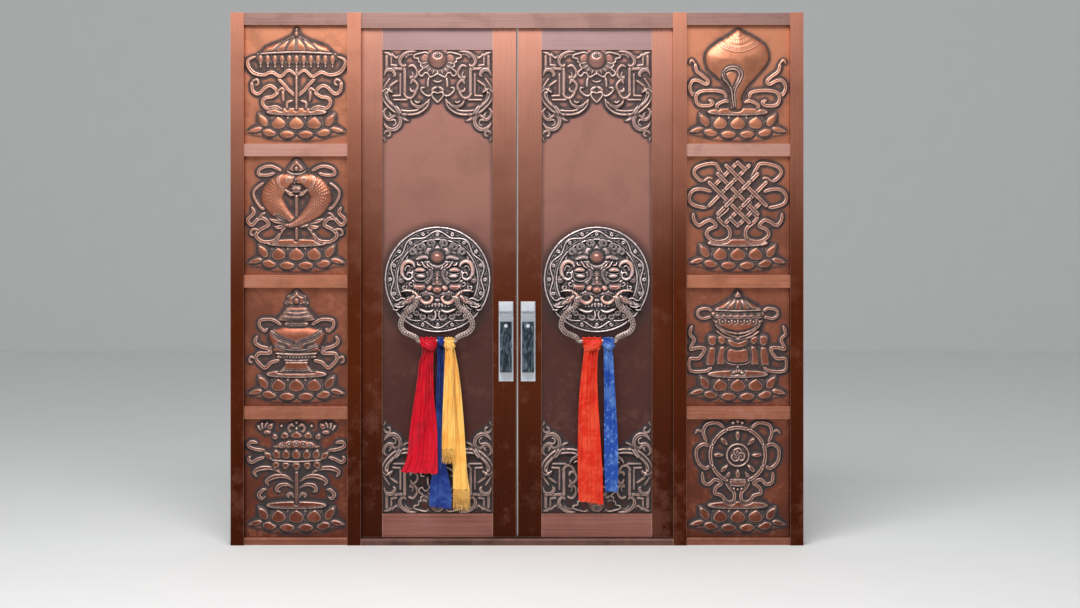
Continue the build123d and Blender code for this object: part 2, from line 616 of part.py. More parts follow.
def side_rails(side):
    """Three rails in front of the panels, and the bottom rail they stand over."""
    front = FRONT + RAIL_SETBACK
    rails = []
    for k in range(1, PANEL_COUNT):
        z = SIDE_BOTTOM_RAIL + k * PANEL_PITCH - SIDE_RAIL
        bar = block(INNER_OUT, OUTER_IN, front, PANEL_FACE, z, z + SIDE_RAIL)
        rails.append(bar - block(INNER_OUT, OUTER_IN, front + SHEET, PANEL_FACE,
                                 z + SHEET, z + SIDE_RAIL - SHEET))
    outline = [(front, 0), (BACK, 0), (BACK, SIDE_BOTTOM_RAIL), (front + SILL_BEVEL, SIDE_BOTTOM_RAIL),
               (front, SIDE_BOTTOM_RAIL - SILL_BEVEL)]
    rails.append(lengthwise(outline, INNER_OUT, OUTER_IN))
    return [across(rail, side) for rail in rails]


def panel_bounds(index):
    """The bottom and top of one panel's sheet, which laps half of each rail."""
    low = SIDE_BOTTOM_RAIL + index * PANEL_PITCH
    high = low + PANEL_HEIGHT
    if index > 0:
        low -= SIDE_RAIL / 2
    if index < PANEL_COUNT - 1:
        high += SIDE_RAIL / 2
    return low, high


def panel(side, index, symbol):
    """One pressed sheet: a symbol on its lotus throne."""
    low, high = panel_bounds(index)
    middle = SIDE_BOTTOM_RAIL + index * PANEL_PITCH + PANEL_HEIGHT / 2
    sheet = block(side * INNER_OUT, side * OUTER_IN, PANEL_FACE, PANEL_FACE + SHEET, low, high)
    relief = Relief(side * SIDE_MIDDLE, PANEL_FACE, middle)
    lotus_throne(relief)
    symbol(relief)
    return relief.on(sheet)


def side_core(side):
    return across(block(INNER_OUT, OUTER_IN, PANEL_FACE + SHEET, BACK - 2 * SHEET,
                        SIDE_BOTTOM_RAIL, SIDE_TOP), side)


def side_back(side):
    return across(block(INNER_OUT, OUTER_IN, BACK - 2 * SHEET, BACK - SHEET,
                        SIDE_BOTTOM_RAIL, SIDE_TOP), side)


# Leaves, modelled for the right one and mirrored for the left one


def hinge_stile(side):
    shell = block(FIELD_OUT, LEAF_EDGE, LEAF_FACE, LEAF_BACK, LEAF_BOTTOM, LEAF_TOP)
    hollow = block(FIELD_OUT + SHEET, LEAF_EDGE - SHEET, LEAF_FACE + SHEET, LEAF_BACK - SHEET,
                   LEAF_BOTTOM, LEAF_TOP)
    return across(shell - hollow, side)


def meeting_outline(inset):
    """The meeting stile in plan, its free edge bevelled so that the leaves clear each other."""
    front = MEETING_EDGE + MEETING_BEVEL
    return [(front + inset, LEAF_FACE + inset), (FIELD_IN - inset, LEAF_FACE + inset),
            (FIELD_IN - inset, LEAF_BACK - inset), (MEETING_EDGE + inset, LEAF_BACK - inset)]


def meeting_wall():
    solid = upright(meeting_outline(0), LEAF_BOTTOM, LEAF_TOP)
    return solid - upright(meeting_outline(SHEET), LEAF_BOTTOM, LEAF_TOP)


def lock_opening():
    """The mortise in the stile's free edge, which the faceplate fills."""
    middle = (LOCK_CASE_BOTTOM + LOCK_CASE_TOP) / 2
    return block(0, LOCK_CASE_DEPTH, LOCK_CASE_Y, LOCK_CASE_Y + LOCK_CASE_DEPTH,
                 middle - FACEPLATE_HEIGHT / 2, middle + FACEPLATE_HEIGHT / 2)


def bolt_bar(size, height, x0, x1, grow=0.0):
    """A bolt's square bar along X, or with grow the room for it."""
    thick, tall = size
    y = LOCK_CASE_Y + LOCK_CASE_DEPTH / 2
    return block(x0, x1, y - thick / 2 - grow, y + thick / 2 + grow,
                 height - tall / 2 - grow, height + tall / 2 + grow)


def flush_bolt_span(top):
    """The bottom and top of one flush bolt's rod, drawn back inside the leaf."""
    if top:
        return LEAF_TOP - FLUSH_BOLT_INSET - FLUSH_BOLT_LENGTH, LEAF_TOP - FLUSH_BOLT_INSET
    return LEAF_BOTTOM + FLUSH_BOLT_INSET, LEAF_BOTTOM + FLUSH_BOLT_INSET + FLUSH_BOLT_LENGTH


def meeting_stile(side):
    """The right stile takes the lock, the left one its strikes and the flush bolts."""
    stile = meeting_wall()
    if side > 0:
        stile -= lock_opening()
        stile -= bar_y(HANDLE_X, PLUG_HEIGHT, PLUG_RADIUS + PLUG_FIT, LEAF_FACE - SHEET,
                       LEAF_FACE + 2 * SHEET)
        return stile
    reach = 2 * MEETING_BEVEL + 2 * SHEET
    stile -= bolt_bar(DEAD_BOLT_SIZE, DEAD_BOLT_HEIGHT, 0, reach, STRIKE_FIT)
    stile -= bolt_bar(LATCH_SIZE, LATCH_HEIGHT, 0, reach, STRIKE_FIT)
    return across(stile, side)


def leaf_rails(side):
    """The leaf's top and bottom rails, folded boxes between the stiles."""
    rails = []
    for low, high in ((LEAF_BOTTOM, FIELD_BOTTOM), (FIELD_TOP, LEAF_TOP)):
        shell = block(FIELD_IN, FIELD_OUT, LEAF_FACE, LEAF_BACK, low, high)
        hollow = block(FIELD_IN, FIELD_OUT, LEAF_FACE + SHEET, LEAF_BACK - SHEET, low + SHEET, high - SHEET)
        rails.append(across(shell - hollow, side))
    return rails


def leaf_field(side):
    """The leaf's front sheet, with the ornament at its top and, turned over, at its bottom."""
    sheet = block(FIELD_IN, FIELD_OUT, FIELD_FACE, FIELD_FACE + SHEET, FIELD_BOTTOM, FIELD_TOP)
    top = Relief(FIELD_MIDDLE, FIELD_FACE, FIELD_TOP)
    bottom = Relief(FIELD_MIDDLE, FIELD_FACE, FIELD_BOTTOM, flip=-1)
    leaf_ornament(top)
    leaf_ornament(bottom)
    room = block(FIELD_IN, FIELD_OUT, FIELD_FACE - 2 * MASK_RELIEF, FIELD_FACE + SHEET,
                 FIELD_BOTTOM, FIELD_TOP)
    return across(sheet.fuse(*top.solids, *bottom.solids) & room, side)


def leaf_core(side):
    back = LEAF_BACK - BACK_SKIN_SETBACK - SHEET
    return across(block(FIELD_IN, FIELD_OUT, FIELD_FACE + SHEET, back, FIELD_BOTTOM, FIELD_TOP), side)


def leaf_back(side):
    back = LEAF_BACK - BACK_SKIN_SETBACK
    return across(block(FIELD_IN, FIELD_OUT, back - SHEET, back, FIELD_BOTTOM, FIELD_TOP), side)


# Hinges


def knuckle_heights(middle):
    """Bottom, two joints and top of one hinge's barrel."""
    return (middle - HINGE_LENGTH / 2, middle - KNUCKLE_MIDDLE / 2, middle + KNUCKLE_MIDDLE / 2,
            middle + HINGE_LENGTH / 2)


def hinge_leaf_half(side, middle):
    """The plate on the leaf's back with the middle knuckle."""
    bottom, low, high, top = knuckle_heights(middle)
    plate = block(HINGE_X - HINGE_LEAF_WIDTH, HINGE_X, LEAF_BACK, LEAF_BACK + HINGE_PLATE, bottom, top)
    room = KNUCKLE_RADIUS + KNUCKLE_GAP
    plate -= bar_z(HINGE_X, HINGE_Y, room, bottom, low + KNUCKLE_GAP)
    plate -= bar_z(HINGE_X, HINGE_Y, room, high - KNUCKLE_GAP, top)
    plate += bar_z(HINGE_X, HINGE_Y, KNUCKLE_RADIUS, low + KNUCKLE_GAP, high - KNUCKLE_GAP)
    return across(plate - bar_z(HINGE_X, HINGE_Y, PIN_RADIUS + PIN_FIT, bottom, top), side)


def hinge_frame_half(side, middle):
    """The plate on the post's back with the outer knuckles."""
    bottom, low, high, top = knuckle_heights(middle)
    plate = block(HINGE_X, HINGE_X + HINGE_FRAME_WIDTH, BACK, BACK + HINGE_PLATE, bottom, top)
    plate -= bar_z(HINGE_X, HINGE_Y, KNUCKLE_RADIUS + KNUCKLE_GAP, low, high)
    for z0, z1 in ((bottom, low), (high, top)):
        plate += bar_z(HINGE_X, HINGE_Y, KNUCKLE_RADIUS, z0, z1)
    return across(plate - bar_z(HINGE_X, HINGE_Y, PIN_RADIUS, bottom, top), side)


def hinge_pin(side, middle):
    bottom, _, _, top = knuckle_heights(middle)
    return across(bar_z(HINGE_X, HINGE_Y, PIN_RADIUS, bottom, top), side)


# Lion masks


def lion_mask(side):
    """The lion's face in its scroll border, open behind, with two lugs for the ring."""
    relief = Relief(FIELD_MIDDLE, FIELD_FACE, MASK_HEIGHT)
    plate = Relief(FIELD_MIDDLE, FIELD_FACE + RELIEF_SEAT, MASK_HEIGHT)
    rim = round_outline((0, 0), MASK_RADIUS, 24)
    plate.mound(rim, MASK_PLATE + RELIEF_SEAT, ((1.0, 1.0),))
    relief.band(rim, (0, 0), BORDER_OUTER / MASK_RADIUS, 16)
    relief.band(round_outline((0, 0), BORDER_INNER, 24), (0, 0), FACE_RADIUS / BORDER_INNER, 21)
    middle, half = (BORDER_INNER + BORDER_OUTER) / 2, (BORDER_OUTER - BORDER_INNER) / 2 - 1
    for k in range(20):
        angle = 2 * math.pi * k / 20
        points = [((middle + r * half) * math.sin(angle + a), (middle + r * half) * math.cos(angle + a))
                  for r, a in ((-1, -0.05), (0.2, -0.12), (1, 0.03), (0, 0.12), (0, 0))]
        relief.peak(points[:-1], points[-1], 16)
    relief.mound(round_outline((0, 0), 194, 12), 36, ((0.97, 0.6), (0.9, 1.0)))
    lion_brow(relief)
    lion_eyes_and_nose(relief)
    lion_mouth(relief)
    hollow = Relief(FIELD_MIDDLE, FIELD_FACE + RELIEF_SEAT, MASK_HEIGHT)
    hollow.mound(round_outline((0, 0), 180, 12), MASK_HOLLOW, ((0.84, 1.0),))
    mask = plate.solids[0].fuse(*relief.solids) - hollow.solids[0]
    mask &= block(FIELD_MIDDLE - MASK_RADIUS, FIELD_MIDDLE + MASK_RADIUS,
                  FIELD_FACE - 2 * MASK_RELIEF, FIELD_FACE,
                  MASK_HEIGHT - MASK_RADIUS, MASK_HEIGHT + MASK_RADIUS)
    for sign in (1, -1):
        mask += ring_lug(sign)
    return across(mask, side)


def lion_brow(relief):
    """The jewel on the brow, the scrolled brows and three curls of mane each side."""
    relief.mound(oval(0, 114, 44, 42, 8), MASK_RELIEF, ((0.84, 0.8), (0.5, 1.0)))
    relief.strip([(-50, 116), (-112, 94), (-158, 84), (-168, 30), (-136, 30)], 26, 50, tip=0.4)
    relief.strip([(-34, 60), (-66, 76), (-94, 70)], 17, 46)
    for u, v, turn in ((-124, 122, -135), (-80, 148, -150), (-32, 168, -170)):
        relief.petal(u, v, 40, 48, turn, 46, both=True)


def lion_eyes_and_nose(relief):
    relief.mound(oval(-84, 36, 40, 22, 8, -0.1), 48, ((0.78, 1.0),), both=True)
    relief.mound(oval(-80, 22, 26, 16, 6), 55, ((0.6, 1.0),), both=True)
    relief.strip([(-122, 8), (-84, -4), (-46, 12)], 11, 47)
    relief.mound([(-18, 60), (-26, -20), (-52, -34), (-44, -54), (44, -54), (52, -34), (26, -20), (18, 60)],
                 MASK_RELIEF, ((0.72, 1.0),))
    relief.peak(oval(-96, -20, 36, 18, 6, 0.3), (-96, -20), 47, both=True)
    relief.petal(-182, 4, 34, 46, 40, 30, both=True)


def lion_mouth(relief):
    """The moustache, the teeth over a wavy lip, the beard, and a curl at each corner."""
    relief.strip([(-160, -34), (-112, -34), (-74, -90), (-42, -108), (-26, -82)], 23, 50, tip=0.5)
    relief.mound([(-84, -116), (-80, -138), (80, -138), (84, -116)], 41, ((0.92, 1.0),))
    for u in (-60, -36, -12):
        relief.peak([(u - 9, -120), (u, -150), (u + 9, -120)], (u, -128), 50, both=True)
    relief.strip([(-98, -142), (-62, -164), (-10, -160)], 16, 45, tip=1.0)
    for u, v in ((-106, -158), (-70, -176), (-31, -180)):
        relief.peak(round_outline((u, v), 17, 6), (u, v), 42, both=True)
    relief.strip([(-132, -84), (-164, -104), (-212, -130)], 34, 50, tip=0.35)


def ring_lug(sign):
    """A lug at the corner of the mouth, bored along X for the ring's stub."""
    x0, x1 = FIELD_MIDDLE + sign * LUG_INNER, FIELD_MIDDLE + sign * LUG_OUTER
    x0, x1 = min(x0, x1), max(x0, x1)
    lug = bar_x(RING_Y, RING_PIVOT, LUG_RADIUS, x0, x1)
    lug += block(x0, x1, RING_Y, FIELD_FACE - MASK_PLATE, RING_PIVOT - LUG_RADIUS, RING_PIVOT + LUG_RADIUS)
    return lug - bar_x(RING_Y, RING_PIVOT, RING_STUB_RADIUS + RING_FIT, x0, x1)


def ring_path():
    """Half of the ring's line, as (right, down) from the middle of the mask."""
    return [(RING_TOP_X, RING_PIVOT_DROP - 8), (RING_TOP_X - 1, RING_PIVOT_DROP + 8),
            (RING_TOP_X - 4, 116), (120, 142), (150, 164), (174, 194), (183, 235), (164, 268), (126, 284),
            (102, 292), (RING_BAR_HALF, RING_BAR_DROP)]


def ring_section(point, direction, across_half, depth_half):
    """An eight-sided section square to the ring's line."""
    du, dv = direction
    corners = []
    for k in range(8):
        angle = math.pi * (k + 0.5) / 4
        grow = 1 / math.cos(math.pi / 8)
        a, b = across_half * grow * math.cos(angle), depth_half * grow * math.sin(angle)
        corners.append((point[0] + a * dv, RING_Y + b, point[1] - a * du))
    return corners


def knocker_ring(side):
    """The wavy ring, swept in eight-sided lengths with a round bar at its bottom."""
    half = [(FIELD_MIDDLE + u, MASK_HEIGHT - drop) for u, drop in ring_path()]
    line = half + [(2 * FIELD_MIDDLE - x, z) for x, z in half[::-1]]
    last = len(line) - 1
    rings = []
    for i, point in enumerate(line):
        before, after = line[max(i - 1, 0)], line[min(i + 1, last)]
        length = math.hypot(after[0] - before[0], after[1] - before[1])
        direction = ((after[0] - before[0]) / length, (after[1] - before[1]) / length)
        is_bar = abs(point[1] - RING_BAR) < 1
        direction = (-1.0, 0.0) if is_bar else direction
        bar_half = RING_BAR_RADIUS * math.cos(math.pi / 8)
        sizes = (bar_half, bar_half) if is_bar else (RING_HALF_WIDTH, RING_HALF_DEPTH)
        rings.append(ring_section(point, direction, *sizes))
    faces = [rings[0], rings[last]]
    for lower, upper in zip(rings, rings[1:]):
        for k in range(8):
            j = (k + 1) % 8
            faces += [[lower[k], lower[j], upper[j]], [lower[k], upper[j], upper[k]]]
    ring = faceted(faces)
    for sign in (1, -1):
        x0, x1 = FIELD_MIDDLE + sign * (LUG_INNER - 1), FIELD_MIDDLE + sign * RING_TOP_X
        ring += bar_x(RING_Y, RING_PIVOT, RING_STUB_RADIUS, min(x0, x1), max(x0, x1))
    return across(ring, side)


# Handle sets


def outer_handle(side):
    """The long plate and its top block, one casting, bored for the key plug on the right."""
    plate = block(HANDLE_X - HANDLE_WIDTH / 2, HANDLE_X + HANDLE_WIDTH / 2, PLATE_FACE, LEAF_FACE,
                  HANDLE_BOTTOM, HANDLE_TOP)
    cap = block(HANDLE_X - HANDLE_WIDTH / 2, HANDLE_X + HANDLE_WIDTH / 2, PLATE_FACE - CAP_PROUD, PLATE_FACE,
                HANDLE_TOP - CAP_HEIGHT, HANDLE_TOP)
    cap = chamfer(cap.edges().group_by(Axis.Y)[0], 5)
    casting = plate + cap
    if side > 0:
        casting -= bar_y(HANDLE_X, PLUG_HEIGHT, PLUG_RADIUS + PLUG_FIT, PLATE_FACE - 2 * CAP_PROUD, LEAF_FACE)
    return across(casting, side)


def grip_profile(face, bar, base):
    """The grip from the side: a bar with an arm at its top and a foot at its bottom."""
    away = math.copysign(1, face - base)
    back = face - away * bar
    return [(face, GRIP_BOTTOM + 4), (face, GRIP_TOP - 4), (face - away * 4, GRIP_TOP), (base, GRIP_TOP),
            (base, GRIP_TOP - GRIP_ARM), (back, GRIP_TOP - GRIP_ARM - 8), (back, GRIP_BOTTOM + GRIP_FOOT + 8),
            (base, GRIP_BOTTOM + GRIP_FOOT), (base, GRIP_BOTTOM), (face - away * 4, GRIP_BOTTOM)]


def outer_grip(side):
    """The pull, bored for the thumb piece just below its arm."""
    grip = lengthwise(grip_profile(GRIP_FACE, GRIP_BAR, PLATE_FACE), HANDLE_X - GRIP_WIDTH / 2,
                      HANDLE_X + GRIP_WIDTH / 2)
    grip -= bar_y(HANDLE_X, THUMB_HEIGHT, THUMB_RADIUS + THUMB_FIT, GRIP_FACE, GRIP_FACE + GRIP_BAR)
    return across(grip, side)


def thumb_piece(side):
    front = GRIP_FACE - THUMB_PROUD
    return across(bar_y(HANDLE_X, THUMB_HEIGHT, THUMB_RADIUS, front, front + THUMB_LENGTH), side)


def inner_handle(side):
    """The plate and pull on the back of the leaf."""
    plate = block(HANDLE_X - HANDLE_WIDTH / 2, HANDLE_X + HANDLE_WIDTH / 2,
                  LEAF_BACK, LEAF_BACK + HANDLE_PLATE, HANDLE_BOTTOM, HANDLE_TOP)
    base = LEAF_BACK + HANDLE_PLATE
    grip = lengthwise(grip_profile(base + GRIP_PROUD, GRIP_BAR, base), HANDLE_X - GRIP_WIDTH / 2,
                      HANDLE_X + GRIP_WIDTH / 2)
    return across(plate + grip, side)


# Lock and bolts


def lock_case():
    """The mortise lock's case with the faceplate that fills the stile's opening."""
    x0 = MEETING_EDGE + MEETING_BEVEL + SHEET
    case = block(x0, x0 + LOCK_CASE_WIDTH, LOCK_CASE_Y, LOCK_CASE_Y + LOCK_CASE_DEPTH,
                 LOCK_CASE_BOTTOM, LOCK_CASE_TOP)
    neck = block(0, x0, LOCK_CASE_Y, LOCK_CASE_Y + LOCK_CASE_DEPTH, LOCK_CASE_BOTTOM, LOCK_CASE_TOP)
    case += neck & upright(meeting_outline(SHEET), LEAF_BOTTOM, LEAF_TOP)
    case += meeting_wall() & lock_opening()
    for size, height in ((DEAD_BOLT_SIZE, DEAD_BOLT_HEIGHT), (LATCH_SIZE, LATCH_HEIGHT)):
        case -= bolt_bar(size, height, 0, x0 + BOLT_LENGTH + BOLT_FIT, BOLT_FIT)
    return case


def lock_bolt(size, height):
    """A bolt drawn back to stand flush with the faceplate."""
    x0 = MEETING_EDGE + MEETING_BEVEL
    return bolt_bar(size, height, x0, x0 + BOLT_LENGTH)


def key_plug():
    """The lock cylinder's plug with its keyway."""
    face = PLATE_FACE - CAP_PROUD
    plug = bar_y(HANDLE_X, PLUG_HEIGHT, PLUG_RADIUS, face, LOCK_CASE_Y - BOLT_FIT)
    return plug - block(HANDLE_X - KEYWAY_WIDTH / 2, HANDLE_X + KEYWAY_WIDTH / 2, face, face + KEYWAY_DEPTH,
                        PLUG_HEIGHT - KEYWAY_HEIGHT / 2, PLUG_HEIGHT + KEYWAY_HEIGHT / 2)


def flush_bolt(top):
    low, high = flush_bolt_span(top)
    return bar_z(-FLUSH_BOLT_X, FLUSH_BOLT_Y, FLUSH_BOLT_RADIUS, low, high)


def flush_bolt_guides():
    """Four bored blocks between the stile's walls, two for each flush bolt."""
    guides = []
    for top in (False, True):
        low, high = flush_bolt_span(top)
        throw = FLUSH_BOLT_THROW
        seats = [high - GUIDE_HEIGHT - throw, low + throw]
        if not top:
            seats.reverse()
        for z in seats:
            guide = block(-FLUSH_BOLT_X - GUIDE_WIDTH / 2, -FLUSH_BOLT_X + GUIDE_WIDTH / 2, LEAF_FACE + SHEET,
                          LEAF_BACK - SHEET, z, z + GUIDE_HEIGHT)
            guides.append(guide - bar_z(-FLUSH_BOLT_X, FLUSH_BOLT_Y, FLUSH_BOLT_RADIUS + FLUSH_BOLT_FIT, z,
                                        z + GUIDE_HEIGHT))
    return guides


# Scarves: each is knotted round the ring's bottom bar, (right, height) from the bar's middle


def scarf(side, knot, tails):
    """A scarf as closed solids: its knot round the bar and its hanging tails."""
    left, right, low = knot
    middle = side * FIELD_MIDDLE
    octagon = [(RING_Y + KNOT_RADIUS * math.cos(math.pi * (k + 0.5) / 4),
                RING_BAR + KNOT_RADIUS * math.sin(math.pi * (k + 0.5) / 4)) for k in range(8)]
    body = lengthwise(octagon, middle + left, middle + right)
    body += block(middle + left, middle + right, RING_Y - KNOT_DEPTH, RING_Y + KNOT_DEPTH,
                  RING_BAR - low, RING_BAR)
    for outline, front, back in tails:
        corners = [Vector(middle + u, front, RING_BAR - drop) for u, drop in outline]
        face = Face(Wire.make_polygon(corners, close=True))
        body += extrude(face, amount=back - front, dir=(0, 1, 0))
    return body - bar_x(RING_Y, RING_BAR, RING_BAR_RADIUS + KNOT_FIT, middle + left, middle + right)


def scarves():
    near, mid, far = RING_Y - 16, RING_Y - 4, RING_Y + 10
    red = [(-80, 20), (0, 20), (-18, 104), (-12, 269), (3, 454), (8, 692), (-100, 702), (-182, 670),
           (-150, 584), (-136, 454), (-107, 269), (-90, 109)]
    blue = [(7, 20), (36, 20), (38, 594), (76, 804), (30, 869), (-12, 824), (-36, 744), (-2, 594)]
    yellow_front = [(44, 20), (84, 20), (92, 294), (97, 624), (22, 630), (34, 354)]
    yellow_back = [(60, 20), (84, 20), (116, 161), (138, 378), (158, 666), (176, 842), (84, 882), (78, 554)]
    save("red_scarf", [scarf(-1, (-84, 4, 34), [(red, mid - 4, mid + 4)])])
    save("blue_scarf", [scarf(-1, (7, 36, 40), [(blue, far - 4, far + 4)])])
    save("yellow_scarf", [scarf(-1, (40, 84, 36), [(yellow_front, near - 4, near + 4),
                                                    (yellow_back, far - 10, far - 2)])])
    orange = [(-76, 44), (-2, 44), (6, 294), (26, 554), (32, 814), (-60, 848), (-96, 824), (-98, 454),
              (-88, 204)]
    sky = [(34, 44), (80, 44), (94, 294), (108, 534), (104, 774), (44, 778), (36, 454)]
    save("orange_scarf", [scarf(1, (-74, 22, 62), [(orange, mid - 6, mid + 6)])])
    save("light_blue_scarf", [scarf(1, (28, 84, 56), [(sky, mid - 5, mid + 5)])])


# Assembly


def build_frame():
    for name, side in (("left", -1), ("right", 1)):
        save(f"outer_post_{name}", [outer_post(side)])
        save(f"inner_post_{name}", [inner_post(side)])
        save(f"side_head_{name}", [side_head(side)])
        save(f"side_rails_{name}", side_rails(side))
        for index in range(PANEL_COUNT):
            save(SYMBOL_NAMES[name][index], [panel(side, index, SYMBOLS[name][index])])
    save("side_cores", [side_core(side) for side in (-1, 1)])
    save("side_backs", [side_back(side) for side in (-1, 1)])
    save("hinge_frame_halves", [hinge_frame_half(side, z) for side in (-1, 1) for z in HINGE_HEIGHTS])
    save("hinge_pins", [hinge_pin(side, z) for side in (-1, 1) for z in HINGE_HEIGHTS])
    save("centre_head", [centre_head()])
    save("sill", [sill()])


def build_leaves():
    for name, side in (("left", -1), ("right", 1)):
        save(f"hinge_stile_{name}", [hinge_stile(side)])
        save(f"meeting_stile_{name}", [meeting_stile(side)])
        save(f"leaf_rails_{name}", leaf_rails(side))
        save(f"leaf_field_{name}", [leaf_field(side)])
        save(f"leaf_core_{name}", [leaf_core(side)])
        save(f"leaf_back_{name}", [leaf_back(side)])
        save(f"hinge_leaf_halves_{name}", [hinge_leaf_half(side, z) for z in HINGE_HEIGHTS])
        save(f"lion_mask_{name}", [lion_mask(side)])
        save(f"knocker_ring_{name}", [knocker_ring(side)])
        save(f"outer_handle_{name}", [outer_handle(side)])
        save(f"outer_grip_{name}", [outer_grip(side)])
        save(f"thumb_piece_{name}", [thumb_piece(side)])
        save(f"inner_handle_{name}", [inner_handle(side)])


def build_locks():
    save("lock_case", [lock_case()])
    save("dead_bolt", [lock_bolt(DEAD_BOLT_SIZE, DEAD_BOLT_HEIGHT)])
    save("latch_bolt", [lock_bolt(LATCH_SIZE, LATCH_HEIGHT)])
    save("key_plug", [key_plug()])
    save("flush_bolt_top", [flush_bolt(True)])
    save("flush_bolt_bottom", [flush_bolt(False)])
    save("flush_bolt_guides", flush_bolt_guides())


build_frame()
build_leaves()
build_locks()
scarves()
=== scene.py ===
"""A copper-clad temple entrance door: symbol panels at its sides, two leaves with lion-mask knockers."""

import math

import bpy
import numpy as np
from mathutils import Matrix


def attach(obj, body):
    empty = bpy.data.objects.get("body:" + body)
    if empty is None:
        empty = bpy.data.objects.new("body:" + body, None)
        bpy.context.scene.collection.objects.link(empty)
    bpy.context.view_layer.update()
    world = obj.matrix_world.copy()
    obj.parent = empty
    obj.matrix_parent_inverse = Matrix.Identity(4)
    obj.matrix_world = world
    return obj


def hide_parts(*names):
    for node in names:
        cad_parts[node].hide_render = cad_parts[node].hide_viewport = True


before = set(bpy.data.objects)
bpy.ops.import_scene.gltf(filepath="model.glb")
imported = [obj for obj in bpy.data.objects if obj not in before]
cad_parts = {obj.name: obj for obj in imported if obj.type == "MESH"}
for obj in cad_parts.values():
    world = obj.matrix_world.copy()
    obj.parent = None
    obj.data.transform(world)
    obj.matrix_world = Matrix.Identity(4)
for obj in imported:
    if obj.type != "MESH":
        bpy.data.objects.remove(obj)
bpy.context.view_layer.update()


# Posts and heads: folded sheet-copper boxes round the whole opening, brushed along their length.
# The sheet is red-brown towards the foot and pinker towards the head: partly patina, partly a painted
# reflection of the dark ground in front and the sky above.
POST_FOOT = (0.078, 0.014, 0.0045, 1)
POST_MIDDLE = (0.165, 0.031, 0.0085, 1)
POST_HEAD = (0.68, 0.275, 0.18, 1)
ARRIS = (0.80, 0.42, 0.28, 1)


def feed(tree, node, inputs):
    """Gives a node its inputs by name or number: each is a plain value or another node's output."""
    for key, value in inputs:
        if isinstance(value, bpy.types.NodeSocket):
            tree.links.new(value, node.inputs[key])
        else:
            node.inputs[key].default_value = value
    return node


def add_node(tree, kind, inputs=None, **settings):
    node = tree.nodes.new(kind)
    for key, value in settings.items():
        setattr(node, key, value)
    return feed(tree, node, (inputs or {}).items())


def object_place(tree):
    return add_node(tree, "ShaderNodeTexCoord").outputs["Object"]


def mix(tree, share, first, second, blend="MIX"):
    node = add_node(tree, "ShaderNodeMix", data_type="RGBA", blend_type=blend)
    return feed(tree, node, ((0, share), (6, first), (7, second))).outputs[2]


def ramp(tree, value, low, high, out_low=0.0, out_high=1.0):
    node = add_node(tree, "ShaderNodeMapRange", interpolation_type="SMOOTHSTEP")
    return feed(tree, node, enumerate((value, low, high, out_low, out_high))).outputs[0]


def math_node(tree, operation, first, second=0.0, third=0.0):
    node = add_node(tree, "ShaderNodeMath", operation=operation)
    return feed(tree, node, enumerate((first, second, third))).outputs[0]


def new_group(name, inputs, outputs):
    group = bpy.data.node_groups.new(name, "ShaderNodeTree")
    for label, kind, value in inputs:
        group.interface.new_socket(label, in_out="INPUT", socket_type=kind).default_value = value
    for label, kind in outputs:
        group.interface.new_socket(label, in_out="OUTPUT", socket_type=kind)
    return group, group.nodes.new("NodeGroupInput").outputs, group.nodes.new("NodeGroupOutput").inputs


def tone_and_reflection_by_height():
    """Copper's colour from the foot of the door to its head, partly patina and partly painted reflection."""
    group, given, out = new_group("tone_and_reflection_by_height", (
        ("Foot", "NodeSocketColor", POST_FOOT), ("Middle", "NodeSocketColor", POST_MIDDLE),
        ("Head", "NodeSocketColor", POST_HEAD), ("Low", "NodeSocketFloat", 1.15),
        ("High", "NodeSocketFloat", 2.75)), (("Color", "NodeSocketColor"),))
    place = object_place(group)
    drift = add_node(group, "ShaderNodeTexNoise",
                     {"Vector": place, "Scale": 1.3, "Detail": 2.0}).outputs["Fac"]
    height = add_node(group, "ShaderNodeSeparateXYZ", {"Vector": place}).outputs["Z"]
    height = math_node(group, "MULTIPLY_ADD", drift, 0.7, math_node(group, "SUBTRACT", height, 0.35))
    # Darker towards the foot and paler towards the head: partly patina, partly a painted reflection of the
    # dark ground in front and the sky above.
    lower = mix(group, ramp(group, height, 0.15, 1.25), given["Foot"], given["Middle"])
    whole = mix(group, ramp(group, height, given["Low"], given["High"]), lower, given["Head"])
    group.links.new(whole, out["Color"])
    return group


def mottle():
    """Clouds of stain and of bloom over a colour, as old patina has them."""
    group, given, out = new_group("mottle", (
        ("Color", "NodeSocketColor", POST_MIDDLE), ("Stain", "NodeSocketColor", (0.05, 0.02, 0.012, 1)),
        ("Bloom", "NodeSocketColor", (0.55, 0.36, 0.32, 1)), ("Scale", "NodeSocketFloat", 6.0),
        ("Amount", "NodeSocketFloat", 0.5)), (("Color", "NodeSocketColor"), ("Cloud", "NodeSocketFloat")))
    place = object_place(group)
    wide = add_node(group, "ShaderNodeTexNoise", {"Vector": place, "Scale": given["Scale"], "Detail": 5.0,
                                                  "Roughness": 0.62, "Distortion": 0.4}).outputs["Fac"]
    fine_scale = math_node(group, "MULTIPLY", given["Scale"], 5.3)
    fine = add_node(group, "ShaderNodeTexNoise", {"Vector": place, "Scale": fine_scale, "Detail": 4.0,
                                                  "Roughness": 0.7}).outputs["Fac"]
    stain = math_node(group, "MULTIPLY", ramp(group, wide, 0.53, 0.36), given["Amount"])
    bloom = math_node(group, "MULTIPLY", ramp(group, math_node(group, "MULTIPLY", wide, fine), 0.25, 0.40),
                      given["Amount"])
    coloured = mix(group, stain, given["Color"], given["Stain"])
    coloured = mix(group, bloom, coloured, given["Bloom"])
    group.links.new(coloured, out["Color"])
    group.links.new(fine, out["Cloud"])
    return group


